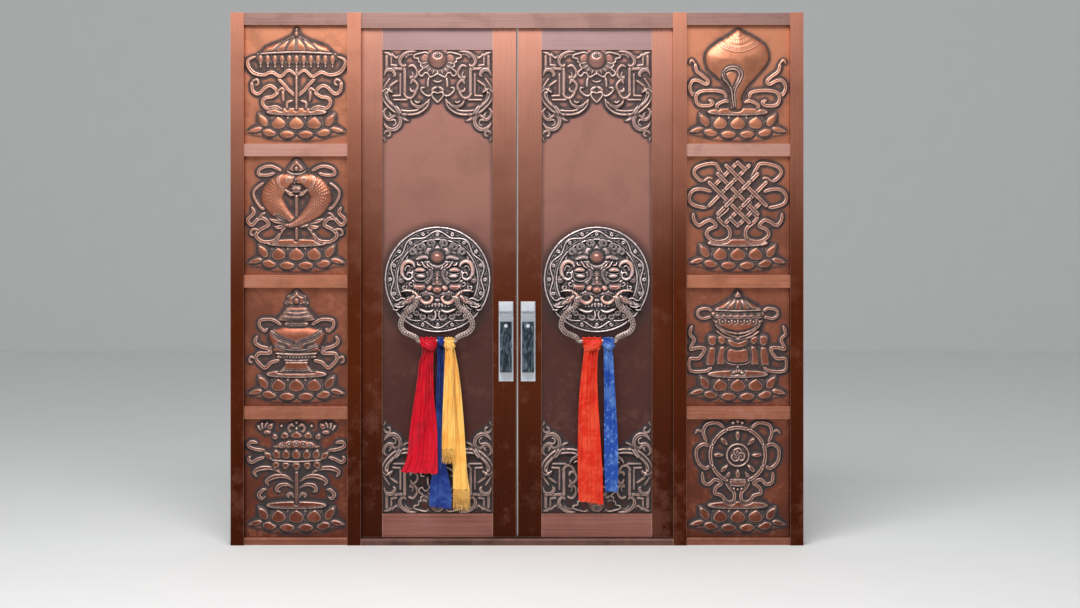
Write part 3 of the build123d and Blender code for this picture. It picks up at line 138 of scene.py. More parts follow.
def brushed_grain():
    """Fine brush lines: Stretch is how close the lines lie along each axis."""
    group, given, out = new_group("brushed_grain", (
        ("Stretch", "NodeSocketVector", (160.0, 160.0, 2.0)),), (("Line", "NodeSocketFloat"),))
    place = object_place(group)
    drawn = add_node(group, "ShaderNodeVectorMath", {0: place, 1: given["Stretch"]}, operation="MULTIPLY")
    line = add_node(group, "ShaderNodeTexNoise", {"Vector": drawn.outputs[0], "Scale": 1.0, "Detail": 3.0,
                                                  "Roughness": 0.6}).outputs["Fac"]
    group.links.new(line, out["Line"])
    return group


def edge_wear_and_highlight():
    """Rounded edges, from how far they turn: copper edges kept bright by hands and weather, a painted
    highlight on the grips.
    """
    group, given, out = new_group("edge_wear_and_highlight", (("Radius", "NodeSocketFloat", 0.004),),
                                  (("Mask", "NodeSocketFloat"),))
    turned = add_node(group, "ShaderNodeBevel", {"Radius": given["Radius"]}, samples=6).outputs[0]
    flat = add_node(group, "ShaderNodeNewGeometry").outputs["Normal"]
    dot = add_node(group, "ShaderNodeVectorMath", {0: turned, 1: flat},
                   operation="DOT_PRODUCT").outputs["Value"]
    group.links.new(ramp(group, dot, 0.995, 0.80), out["Mask"])
    return group


def place_group(tree, group, inputs=None):
    return add_node(tree, "ShaderNodeGroup", inputs, node_tree=group).outputs


def new_material(name):
    material = bpy.data.materials.new(name)
    material.use_nodes = True
    tree = material.node_tree
    return material, tree, tree.nodes["Principled BSDF"].inputs


def roughen(tree, shader, height, strength, distance):
    bump = add_node(tree, "ShaderNodeBump", {"Height": height, "Strength": strength, "Distance": distance})
    tree.links.new(bump.outputs[0], shader["Normal"])


TONE_AND_REFLECTION, MOTTLE, GRAIN, EDGE = tone_and_reflection_by_height(), mottle(), brushed_grain(), edge_wear_and_highlight()


def copper_sheet(name, foot, middle, head, stretch, stain=0.5, rough=0.38, metal=0.55, edge=0.6, scale=5.0,
                 relief=0.12):
    """Brushed sheet copper, toned by height (partly painted reflection), mottled, and bright along its
    folds.
    """
    material, tree, shader = new_material(name)
    # Toned by height: partly patina, partly a painted reflection of the dark ground and the sky.
    tone = place_group(tree, TONE_AND_REFLECTION, {"Foot": foot, "Middle": middle, "Head": head})["Color"]
    clouded = place_group(tree, MOTTLE, {"Color": tone, "Bloom": head, "Scale": scale, "Amount": stain})
    line = place_group(tree, GRAIN, {"Stretch": stretch})["Line"]
    colour = mix(tree, ramp(tree, line, 0.30, 0.72, 0.0, 0.34), clouded["Color"], (0.02, 0.012, 0.010, 1))
    worn = place_group(tree, EDGE)["Mask"]
    worn = math_node(tree, "MULTIPLY", worn, math_node(tree, "MULTIPLY", clouded["Cloud"], edge * 1.6))
    tree.links.new(mix(tree, worn, colour, ARRIS), shader["Base Color"])
    tree.links.new(ramp(tree, line, 0.2, 0.8, rough - 0.06, rough + 0.1), shader["Roughness"])
    roughen(tree, shader, line, relief, 0.0006)
    shader["Metallic"].default_value = metal
    return material


def dress(names, material):
    for name in names:
        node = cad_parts[name]
        for slot in node.material_slots:
            slot.material = material


post_copper = copper_sheet("post_copper", POST_FOOT, POST_MIDDLE, POST_HEAD, (170.0, 170.0, 1.8), stain=0.14,
                           scale=2.0, metal=1.0, rough=0.34)
head_copper = copper_sheet("head_copper", POST_FOOT, (0.30, 0.12, 0.08, 1), (0.34, 0.19, 0.165, 1),
                           (2.2, 150.0, 150.0), stain=0.2, metal=0.7)
dress(("outer_post_left", "outer_post_right", "inner_post_left", "inner_post_right"), post_copper)
dress(("centre_head", "side_head_left", "side_head_right"), head_copper)


# Sidelight rails and the sill: narrower folded boxes between the posts, pinker than the posts, with bright
# folds top and bottom. The rails' pinker colour is a painted reflection of the sky they face.
rail_copper = copper_sheet("rail_copper", (0.34, 0.12, 0.075, 1), (0.64, 0.23, 0.125, 1),
                           (0.70, 0.42, 0.37, 1), (3.0, 170.0, 170.0), stain=0.2, edge=0.9, metal=0.75)
sill_copper = copper_sheet("sill_copper", (0.16, 0.075, 0.06, 1), (0.2, 0.1, 0.08, 1), (0.2, 0.1, 0.08, 1),
                           (2.5, 120.0, 120.0), stain=0.7, edge=1.0, rough=0.5)
dress(("side_rails_left", "side_rails_right"), rail_copper)
dress(("sill",), sill_copper)


# Cores and backs: blockboard cores that stiffen the sheet, and plain copper sheets on the inner face.
TIMBER = (0.33, 0.20, 0.11, 1)


def core_timber():
    material, tree, shader = new_material("core_timber")
    place = object_place(tree)
    drawn = add_node(tree, "ShaderNodeMapping", {"Vector": place, "Scale": (26.0, 26.0, 1.6)}).outputs[0]
    ring = add_node(tree, "ShaderNodeTexNoise", {"Vector": drawn, "Scale": 1.0, "Detail": 6.0,
                                                 "Distortion": 0.8}).outputs["Fac"]
    tree.links.new(mix(tree, ramp(tree, ring, 0.35, 0.66), TIMBER, (0.16, 0.085, 0.04, 1)),
                   shader["Base Color"])
    shader["Roughness"].default_value = 0.72
    roughen(tree, shader, ring, 0.3, 0.001)
    return material


back_copper = copper_sheet("back_copper", (0.12, 0.045, 0.028, 1), (0.22, 0.09, 0.055, 1),
                           (0.36, 0.18, 0.13, 1), (120.0, 120.0, 2.0), stain=0.25)
dress(("side_cores", "leaf_core_left", "leaf_core_right"), core_timber())
dress(("side_backs", "leaf_back_left", "leaf_back_right"), back_copper)


# Symbol panels: eight sheets of copper beaten from behind over a die and chased from the front. Each shows
# one lucky symbol with tied ribbons on the same lotus throne; soot and polish have settled in the recesses.
# Places on a panel are (right, up) from its middle, in millimetres.
PANEL_WIDTH, PANEL_HEIGHT, PANEL_PITCH = 533.0, 613.5, 677.5
PANEL_MIDDLE, PANEL_LOWEST, PANEL_FACE = 1140.5, 343.75, 20.0
PANEL_STEP = 3.3
# Toned from foot to head: partly patina, partly a painted reflection of the dark ground and the sky.
PANEL_FOOT = (0.16, 0.040, 0.021, 1)
PANEL_TONE = (0.30, 0.094, 0.052, 1)
PANEL_HEAD = (0.56, 0.215, 0.118, 1)
RECESS = (0.016, 0.017, 0.020, 1)
# The crests' pale colour: partly polish, partly a painted highlight.
CREST = (0.80, 0.56, 0.48, 1)


def smooth_line(points, closed=False, pitch=5.0):
    """A smooth line through the points, and each of its places as a share of the way."""
    points = np.asarray(points, float)
    count = len(points)
    places, share = [], []
    for k in range(count if closed else count - 1):
        if closed:
            a, b, c, d = (points[(k + j) % count] for j in (-1, 0, 1, 2))
        else:
            a, b, c, d = points[max(k - 1, 0)], points[k], points[k + 1], points[min(k + 2, count - 1)]
        steps = max(2, int(np.hypot(*(c - b)) / pitch))
        for t in np.arange(steps) / steps:
            places.append(0.5 * (2 * b + (c - a) * t + (2 * a - 5 * b + 4 * c - d) * t ** 2
                                 + (3 * b - a - 3 * c + d) * t ** 3))
            share.append((k + t) / (count if closed else count - 1))
    if not closed:
        places.append(points[-1])
        share.append(1.0)
    return np.array(places), np.array(share)


def oval(u, v, half_width, half_height, turn=0.0, count=20):
    """Places round an oval, turned anticlockwise by degrees."""
    spin = math.radians(turn)
    places = []
    for k in range(count):
        a = half_width * math.cos(2 * math.pi * k / count)
        b = half_height * math.sin(2 * math.pi * k / count)
        places.append((u + a * math.cos(spin) - b * math.sin(spin),
                       v + a * math.sin(spin) + b * math.cos(spin)))
    return places


def petal_edge(u, v, width, length, turn=0.0, point=1.0):
    """A petal about its middle: tip up, turned anticlockwise by degrees, blunter as point goes to 0."""
    half = [(0, 0.5), (0.10 + 0.12 * (1 - point), 0.45 + 0.03 * (1 - point)), (0.34, 0.26), (0.5, -0.02),
            (0.46, -0.26), (0.27, -0.45), (0, -0.5)]
    edge = half + [(-a, b) for a, b in half[-2:0:-1]]
    spin = math.radians(turn)
    return [(u + a * width * math.cos(spin) - b * length * math.sin(spin),
             v + a * width * math.sin(spin) + b * length * math.cos(spin)) for a, b in edge]


def rounded(r, along, across):
    return (1 - r ** 2) ** 0.55


def flat_top(r, along, across):
    return np.clip((1 - r) / 0.22, 0, 1) ** 0.6


def channelled(r, along, across):
    """A ribbon with a raised edge each side of a groove."""
    swell = np.clip(r / 0.62, 0, 1)
    return np.clip((1 - r) / 0.3, 0, 1) ** 0.6 * (0.5 + 0.5 * swell ** 2 * (3 - 2 * swell))


def rimmed(r, along, across):
    """A petal: a rounded rim, a chased line inside it, and a full middle."""
    line = np.exp(-((r - 0.79) / 0.08) ** 2)
    middle = np.clip(1 - (r / 0.76) ** 2, 0, 1) ** 0.5
    return np.clip((1 - r) / 0.10, 0, 1) ** 0.6 * (0.62 - 0.54 * line) + 0.42 * middle


class Die:
    """The form a sheet is beaten to: its height in millimetres over a net of places twice as fine as it."""

    def __init__(self, width, height, step, sink=9.0):
        columns, rows = round(width / step) + 1, round(height / step) + 1
        self.u = np.linspace(-width / 2, width / 2, 2 * columns - 1)
        self.v = np.linspace(-height / 2, height / 2, 2 * rows - 1)
        self.h = np.zeros((self.v.size, self.u.size))
        self.sink = sink

    def window(self, low_u, high_u, low_v, high_v):
        a, b = np.searchsorted(self.u, (low_u, high_u))
        c, d = np.searchsorted(self.v, (low_v, high_v))
        return slice(c, d), slice(a, b)

    def lay(self, window, near, gap, form):
        """Beats the sheet down along a form's outline, then raises the form."""
        ground = self.h[window]
        fall = np.clip((1 + gap - near) / gap, 0, 1)
        lowered = np.maximum(ground - self.sink * fall, np.minimum(ground, 0.0))
        self.h[window] = np.where(near < 1, np.maximum(lowered, form), lowered)

    def ribbon(self, points, width, height, shape=channelled, tip=0.45, both=True, closed=False, over=False):
        """A raised strip on a smooth line; width and height may be lists. Over: on what is there."""
        if both:
            self.ribbon([(-u, v) for u, v in points], width, height, shape, tip, False, closed, over)
        line, share = smooth_line(points, closed)
        if closed:
            line, share = np.vstack([line, line[:1]]), np.append(share, 1.0)
        way = np.concatenate([[0], np.cumsum(np.hypot(*np.diff(line, axis=0).T))])
        half = np.interp(share, np.linspace(0, 1, np.size(width)), np.atleast_1d(width)) / 2
        lift = np.interp(share, np.linspace(0, 1, np.size(height)), np.atleast_1d(height))
        if not closed:
            end = np.minimum(way, way[-1] - way) / (1.6 * half.max())
            half = half * np.minimum(1, tip + (1 - tip) * np.sqrt(end))
        margin = half.max() + 6
        low, high = line.min(axis=0) - margin, line.max(axis=0) + margin
        window = self.window(low[0], high[0], low[1], high[1])
        u, v = self.u[window[1]][None, :], self.v[window[0]][:, None]
        near, along = np.full((v.size, u.size), 9.0), np.zeros((v.size, u.size))
        across, raised = np.zeros_like(near), np.zeros_like(near)
        for k in range(len(line) - 1):
            (u0, v0), (u1, v1) = line[k], line[k + 1]
            reach = max(half[k], half[k + 1]) + 5
            a, b = np.searchsorted(u[0], (min(u0, u1) - reach, max(u0, u1) + reach))
            c, d = np.searchsorted(v[:, 0], (min(v0, v1) - reach, max(v0, v1) + reach))
            if b <= a or d <= c:
                continue
            pu, pv, du, dv = u[:, a:b] - u0, v[c:d] - v0, u1 - u0, v1 - v0
            t = np.clip((pu * du + pv * dv) / max(du * du + dv * dv, 1e-9), 0, 1)
            r = np.hypot(pu - t * du, pv - t * dv) / np.maximum(half[k] + (half[k + 1] - half[k]) * t, 0.5)
            closer = r < near[c:d, a:b]
            near[c:d, a:b][closer] = r[closer]
            raised[c:d, a:b][closer] = (lift[k] + (lift[k + 1] - lift[k]) * t)[closer]
            along[c:d, a:b][closer] = (way[k] + (way[k + 1] - way[k]) * t)[closer]
            across[c:d, a:b][closer] = (np.sign(pu * dv - pv * du) * r)[closer]
        form = raised * shape(np.minimum(near, 1), along, across)
        if over:
            self.h[window] += np.where(near < 1, form, 0)
        else:
            self.lay(window, near, 4.0 / half.max(), form)

    def dome(self, outline, height, shape=rounded, both=False, sharp=False):
        """A raised form inside a closed outline."""
        if both:
            self.dome([(-u, v) for u, v in outline], height, shape, False, sharp)
        edge = np.asarray(outline, float) if sharp else smooth_line(outline, True, 8.0)[0]
        low, high = edge.min(axis=0) - 6, edge.max(axis=0) + 6
        window = self.window(low[0], high[0], low[1], high[1])
        u, v = self.u[window[1]][None, :], self.v[window[0]][:, None]
        gap, inside = np.full((v.size, u.size), 1e9), np.zeros((v.size, u.size), bool)
        for (u0, v0), (u1, v1) in zip(edge, np.roll(edge, -1, axis=0)):
            du, dv = u1 - u0, v1 - v0
            t = np.clip(((u - u0) * du + (v - v0) * dv) / max(du * du + dv * dv, 1e-9), 0, 1)
            gap = np.minimum(gap, (u - u0 - t * du) ** 2 + (v - v0 - t * dv) ** 2)
            if dv:
                inside ^= ((v0 > v) != (v1 > v)) & (u < u0 + (v - v0) * du / dv)
        gap = np.sqrt(gap)
        reach = gap[inside].max() if inside.any() else 1.0
        near = np.where(inside, 1 - gap / reach, 1 + gap / reach)
        self.lay(window, near, 4.0 / reach, height * shape(np.minimum(near, 1), gap, near))

    def beads(self, places, radius, height):
        for u, v in places:
            self.dome(oval(u, v, radius, radius, count=10), height)

    def finished(self, halo=12.5, depth=3.4):
        """Height, darkness of the recesses and brightness of the crests on the sheet's own net."""
        near = np.clip((soften(self.h, self.u, halo) - self.h) / depth, 0, 1)
        wide = np.clip((soften(self.h, self.u, 2.4 * halo) - self.h) / (1.6 * depth), 0, 1)
        dark = np.clip(near + 0.55 * wide, 0, 1)
        # The crests' brightness: partly polish, partly a painted highlight.
        light = np.clip((self.h - soften(self.h, self.u, 3.4)) / 1.3, 0, 1)
        return [soften(form, self.u, 1.2)[::2, ::2] for form in (self.h, dark, light)]


def soften(form, u, radius):
    """The form averaged over a radius in millimetres, three times, so that it comes out round."""
    reach = max(1, int(round(radius / (u[1] - u[0]) / 1.7)))
    for axis in (0, 1) * 3:
        padded = np.pad(form, [(reach + 1, reach) if a == axis else (0, 0) for a in (0, 1)], mode="edge")
        total = np.cumsum(padded, axis=axis)
        step = 2 * reach + 1
        form = (np.take(total, range(step, total.shape[axis]), axis) -
                np.take(total, range(0, total.shape[axis] - step), axis)) / step
    return form


def beaten_sheet(name, rights, ups, forms, face):
    """A sheet pushed out to the die's height, with its recesses and crests kept for the patina."""
    bpy.ops.object.select_all(action="DESELECT")
    bpy.ops.mesh.primitive_grid_add(x_subdivisions=len(rights) - 1, y_subdivisions=len(ups) - 1, size=1)
    sheet = bpy.context.object
    sheet.name = name
    mesh = sheet.data
    places = np.empty(len(mesh.vertices) * 3)
    mesh.vertices.foreach_get("co", places)
    places = places.reshape(-1, 3)
    column = np.rint((places[:, 0] + 0.5) * (len(rights) - 1)).astype(int)
    row = np.rint((places[:, 1] + 0.5) * (len(ups) - 1)).astype(int)
    height, dark, light = forms
    where = np.column_stack([rights[column], -face - height[row, column], ups[row]]) / 1000
    mesh.vertices.foreach_set("co", where.ravel())
    chased = np.column_stack([dark[row, column], light[row, column], height[row, column] / 60,
                              np.ones(len(row))])
    mesh.attributes.new("chasing", "FLOAT_COLOR", "POINT").data.foreach_set("color", chased.ravel())
    mesh.update()
    bpy.ops.object.shade_smooth()
    return sheet


def chased_copper(name, foot, middle, head, recess=RECESS, crest=CREST, stain=0.55, scale=7.0, rough=0.36,
                  metal=0.5, halo=0.97, shine=0.9, strand=None, bounds=(1.15, 2.75)):
    """Beaten copper: dark where the polish can't reach, pale on its crests, partly rubbed and partly a
    painted highlight.
    """
    material, tree, shader = new_material(name)
    # Toned by height: partly patina, partly a painted reflection of the dark ground and the sky.
    tone = place_group(tree, TONE_AND_REFLECTION, {"Foot": foot, "Middle": middle, "Head": head, "Low": bounds[0],
                                    "High": bounds[1]})["Color"]
    clouded = place_group(tree, MOTTLE, {"Color": tone, "Bloom": head, "Scale": scale, "Amount": stain})
    chased = add_node(tree, "ShaderNodeAttribute", attribute_name="chasing").outputs["Color"]
    parts = add_node(tree, "ShaderNodeSeparateColor", {"Color": chased}).outputs
    colour = clouded["Color"]
    if strand:
        colour = mix(tree, ramp(tree, parts["Blue"], 0.07, 0.16, 0.0, 0.5), colour, strand)
    # Pale crests: partly rubbed bright, partly a painted highlight.
    rub_and_highlight = math_node(tree, "MULTIPLY", ramp(tree, parts["Green"], 0.15, 0.8),
                    ramp(tree, clouded["Cloud"], 0.35, 0.6, 0.55 * shine, shine))
    colour = mix(tree, rub_and_highlight, colour, crest)
    darkened = math_node(tree, "MULTIPLY", ramp(tree, parts["Red"], 0.02, 0.5), halo)
    darkened = math_node(tree, "MULTIPLY", darkened, ramp(tree, clouded["Cloud"], 0.3, 0.7, 1.0, 0.82))
    tree.links.new(mix(tree, darkened, colour, recess), shader["Base Color"])
    tree.links.new(ramp(tree, darkened, 0.0, 1.0, rough, 0.7), shader["Roughness"])
    tree.links.new(ramp(tree, darkened, 0.0, 1.0, metal, 0.1), shader["Metallic"])
    roughen(tree, shader, clouded["Cloud"], 0.25, 0.0014)
    return material


def throne(die):
    """The lotus throne: two rows of petals under a round seat."""
    die.dome([(-262, -250), (-190, -266), (-120, -286), (0, -290), (120, -286), (190, -266), (262, -250),
              (190, -206), (0, -200), (-190, -206)], 4, flat_top)
    die.dome(petal_edge(-214, -234, 36, 92, 104), 13, rimmed, both=True)
    for u, v, half_width, turn in ((-140, -247, 43, -8), (-48, -256, 46, 0)):
        die.dome(oval(u, v, half_width, 28, turn), 15, rimmed, both=True)
    for u, v, turn in ((-124, -180, 12), (-44, -176, 3)):
        die.dome(petal_edge(u, v, 36, 40, turn), 10, rimmed, both=True)
    die.dome(petal_edge(-174, -182, 58, 92, 34), 15, rimmed, both=True)
    die.dome(petal_edge(-92, -196, 98, 90, 7), 18, rimmed, both=True)
    die.dome(petal_edge(0, -197, 104, 94, 0), 20, rimmed)
    die.dome([(-160, -140), (-120, -152), (0, -158), (120, -152), (160, -140), (120, -124), (0, -118),
              (-120, -124)], 17, flat_top)
    die.ribbon([(-158, -141), (-120, -152), (0, -158), (120, -152), (158, -141)], 8, 21, rounded, both=False)


def parasol(die):
    die.ribbon([(-72, -28), (-68, -82)], 16, 9, tip=0.7)
    die.ribbon([(-96, 32), (-61, -3), (-37, -32), (0, -62)], 20, 12)
    die.ribbon([(-232, 15), (-226, -32), (-197, -47), (-161, -15), (-132, -6), (-99, -38), (-126, -62),
                (-161, -68), (-176, -92), (-155, -121), (-108, -115), (-73, -133)], 21, 12)
    die.ribbon([(-232, 15), (-206, 28), (-196, 6), (-214, -4)], 14, 11)
    die.ribbon([(-99, -38), (-76, -18), (-60, -34)], 13, 10)
    die.ribbon([(-45, -130), (-50, -95), (-20, -82)], 15, 10)
    die.ribbon([(0, 80), (0, -128)], 17, 13, rounded, tip=1.0, both=False)
    die.dome([(-203, 152), (-188, 166), (0, 172), (188, 166), (203, 152), (190, 116), (0, 108), (-190, 116)],
             9, flat_top)
    for k in range(11):
        u = -186 + 37.2 * k
        die.dome(petal_edge(u, 128, 34, 62, 180, 0.3), 13, rimmed)
        die.beads([(u, 94)], 6.5, 10)
    die.ribbon([(-210, 146), (-248, 128), (-250, 98), (-222, 62), (-172, 50), (-128, 64), (-82, 42),
                (-40, 74), (0, 44)], [14, 18, 22, 24, 20, 22, 20, 20, 16], 15)
    die.dome([(-182, 156), (-174, 180), (-158, 197), (-110, 213), (-60, 233), (-24, 250), (24, 250),
              (60, 233), (110, 213), (158, 197), (174, 180), (182, 156)], 21, rounded, sharp=True)
    for u in (-124, -64, 0, 64, 124):
        die.ribbon([(u * 0.12, 250), (u * 0.62, 214), (u, 160)], 6, 24, rounded, both=False)
    die.ribbon([(-186, 160), (0, 168), (186, 160)], 12, 20, rounded, both=False, tip=0.8)
    die.dome(petal_edge(0, 265, 30, 40), 18, rimmed)
    die.beads([(0, 286)], 8, 14)


def fish_scales(r, along, across):
    """A fish's side: rows of overlapping scales on a full body."""
    row = np.floor(along / 13.0)
    slot = across * 4.2 + 0.5 * (row % 2)
    away = np.hypot(along / 13.0 - row - 0.5, slot - np.floor(slot) - 0.5)
    return (1 - r ** 2) ** 0.5 * (0.84 + 0.16 * np.where(along > 80, np.clip(1.25 - 2.2 * away, 0, 1), 0.7))


def golden_fish(die):
    die.ribbon([(-79, 232), (-132, 256), (-185, 244), (-197, 215), (-155, 209), (-114, 220)], 19, 12)
    die.ribbon([(-232, 43), (-220, 14), (-253, -22), (-232, -48), (-197, -16), (-167, -16), (-144, -46),
                (-191, -75), (-209, -105), (-173, -134), (-114, -128), (-85, -93)], 21, 12)
    die.ribbon([(-197, -16), (-180, 8), (-160, 14)], 13, 10)
    die.ribbon([(-191, -75), (-226, -70), (-240, -92), (-222, -104)], 14, 11)
    die.ribbon([(0, 226), (0, 176)], 20, 14, rounded, tip=1.0, both=False)
    die.ribbon([(0, 100), (0, -124)], 20, 12, rounded, tip=1.0, both=False)
    die.ribbon([(-170, 170), (-200, 150), (-222, 120), (-212, 80), (-180, 38), (-165, 45), (-172, 100)], 16,
               14)
    for sign, lift in ((-1, 21), (1, 26)):
        body = [(-2, 184), (-46, 186), (-100, 150), (-126, 96), (-96, 37), (-37, -16), (22, -46), (57, -48)]
        tail = [[(40, -44), (70, -66), (78, -96)], [(44, -42), (92, -60), (118, -54)],
                [(46, -38), (104, -30), (146, -14)], [(40, -34), (88, -12), (112, 8)]]
        for fin in tail:
            die.ribbon([(-sign * u, v) for u, v in fin], [12, 24, 6], lift - 8, channelled, both=False)
        die.ribbon([(-sign * u, v) for u, v in body], [44, 76, 108, 118, 98, 62, 36, 22], lift, fish_scales,
                   tip=0.75, both=False)
        die.ribbon([(-sign * u, v) for u, v in ((-62, 138), (-30, 112), (-8, 104))], [10, 22, 6], lift + 2,
                   channelled, both=False)
        for back in (0, 12):
            die.ribbon([(-sign * u, v) for u, v in ((-64 - back, 222), (-88 - back, 198 - back / 2),
                                                    (-84, 160 - back), (-60, 140 - back))], 6, 3.4, rounded,
                       both=False, over=True)
        for width in (15, 7):
            die.ribbon(oval(sign * 40, 186, width, width, count=12), 4.5, 3.0, rounded, both=False,
                       closed=True, over=True)
        die.ribbon([(-sign * u, v) for u, v in ((-6, 182), (12, 170), (4, 158))], 8, lift - 8, rounded,
                   both=False)
    die.dome(oval(0, 139, 30, 20), 22, rounded)
    for v in (124, 139, 154):
        die.ribbon([(-28, v), (0, v - 3), (28, v)], 6, 25, rounded, both=False)
    die.dome([(0, 296), (-30, 268), (-50, 240), (-30, 222), (0, 218), (30, 222), (50, 240), (30, 268)], 17,
             rimmed)
    die.dome(oval(0, 244, 16, 16), 22)
    die.ribbon([(-52, 232), (-20, 216), (20, 216), (52, 232)], 10, 18, rounded, both=False)


def treasure_vase(die):
    die.ribbon([(-203, 54), (-215, 24), (-185, 1), (-144, -11), (-138, -32), (-197, -35), (-209, -64),
                (-185, -94), (-161, -109), (-132, -82), (-90, -70)], 21, 12)
    die.ribbon([(-144, -11), (-120, 6), (-124, 24)], 13, 10)
    die.ribbon([(-209, -64), (-238, -52), (-246, -74), (-228, -84)], 14, 11)
    die.ribbon([(-79, 113), (-126, 140), (-185, 137), (-191, 107), (-167, 83), (-150, 94)], 19, 13)
    die.dome([(-57, -74), (-60, -92), (-88, -124), (-84, -134), (84, -134), (88, -124), (60, -92),
              (57, -74)], 17, flat_top)
    die.ribbon([(-78, -118), (0, -124), (78, -118)], 8, 21, rounded, both=False)
    die.dome([(-52, 107), (-98, 97), (-136, 88), (-147, 64), (-142, 38), (-125, 4), (-104, -31), (104, -31),
              (125, 4), (142, 38), (147, 64), (136, 88), (98, 97), (52, 107)], 27, rounded)
    die.ribbon([(-132, 83), (-100, 56), (-62, 38), (-25, 26), (0, 2)], 20, [26, 29, 30, 30, 30])
    die.ribbon([(-96, 20), (-56, 8), (-34, -16)], 12, 28)
    die.ribbon([(-118, 8), (-60, -12), (0, -18), (60, -12), (118, 8)], 8, 26, rounded, both=False)
    die.ribbon([(-106, -34), (0, -40), (106, -34)], 13, 24, rounded, tip=0.8, both=False)
    die.dome([(-92, -42), (-84, -62), (84, -62), (92, -42)], 15, flat_top)
    die.beads([(-80 + 16 * k, -53) for k in range(11)], 6.5, 20)
    die.ribbon([(-66, -68), (0, -72), (66, -68)], 9, 19, rounded, tip=0.8, both=False)
    die.dome([(-50, 132), (-52, 104), (52, 104), (50, 132)], 18, flat_top)
    for v in (110, 120):
        die.ribbon([(-50, v), (0, v - 3), (50, v)], 7, 22, rounded, both=False, tip=0.8)
    die.dome([(-44, 208), (-66, 186), (-94, 152), (-88, 134), (0, 126), (88, 134), (94, 152), (66, 186),
              (44, 208)], 22, rounded)
    for v, half in ((150, 88), (170, 72), (190, 54)):
        die.ribbon([(-half, v), (0, v - 7), (half, v)], 6, 25, rounded, both=False, tip=0.8)
    die.dome([(0, 296), (-24, 272), (-50, 262), (-46, 244), (-64, 226), (-44, 214), (0, 208), (44, 214),
              (64, 226), (46, 244), (50, 262), (24, 272)], 15, rimmed)
    die.dome(oval(0, 238, 19, 19), 22)


def lotus_flower(die):
    die.ribbon([(-70, 18), (-120, 47), (-179, 50), (-220, 30), (-203, 3)], [6, 20, 28, 20, 12], 12)
    die.ribbon([(-14, -24), (-55, 6), (-114, 6), (-155, -18), (-141, -41)], [6, 20, 28, 20, 12], 12)
    die.ribbon([(-11, -56), (-49, -35), (-90, -41), (-102, -65), (-82, -74)], [6, 18, 24, 18, 12], 12)
    die.ribbon([(-14, -112), (-25, -83), (-46, -89), (-37, -106)], [6, 16, 18, 12], 10)
    die.ribbon([(-150, -60), (-176, -64), (-196, -88), (-180, -108), (-160, -96)], [6, 20, 22, 18, 10], 11)
    die.ribbon([(0, 45), (0, -128)], 22, 13, rounded, tip=1.0, both=False)
    for points in ([(-164, 142), (-215, 148), (-250, 165), (-235, 186), (-203, 180)],
                   [(-167, 106), (-203, 95), (-232, 80), (-250, 95), (-238, 110)]):
        die.ribbon(points, 20, 13)
    for turn in (64, 28, -8, -44):
        angle = math.radians(turn)
        die.dome(petal_edge(-158 - 34 * math.sin(angle), 251 + 22 * math.cos(angle), 34, 46, turn), 13,
                 rimmed, both=True)
    die.dome(oval(-152, 236, 22, 13), 15, rounded, both=True)
    die.ribbon([(0, 238), (-30, 238), (-42, 258), (-28, 275), (-12, 264)], 15, 13)
    die.beads([(0, 286), (0, 254), (-78, 268), (78, 268)], 9, 13)
    die.dome(petal_edge(-112, 214, 34, 40, 24), 12, rimmed, both=True)
    die.dome(petal_edge(-60, 220, 52, 46, 10), 14, rimmed, both=True)
    die.dome(petal_edge(0, 222, 70, 52), 16, rimmed)
    die.dome([(-112, 152), (-108, 172), (-70, 190), (0, 197), (70, 190), (108, 172), (112, 152)], 20,
             rounded)
    die.beads([(-72, 168), (-36, 175), (0, 178), (36, 175), (72, 168)], 8, 24)
    die.dome(petal_edge(-146, 116, 40, 66, 52), 14, rimmed, both=True)
    for u, width, lift in ((-103, 54, 16), (-53, 58, 18)):
        die.dome(petal_edge(u, 124, width, 66, -u * 0.14), lift, rimmed, both=True)
    die.dome(petal_edge(0, 124, 62, 70), 20, rimmed)
    for u, width, lift in ((-107, 46, 14), (-56, 50, 15)):
        die.dome(petal_edge(u, 66, width, 52, 180 + u * 0.2, 0.4), lift, rimmed, both=True)
    die.dome(petal_edge(0, 62, 54, 56, 180, 0.4), 17, rimmed)
    die.ribbon([(-128, 92), (0, 84), (128, 92)], 10, 19, rounded, tip=0.6, both=False)


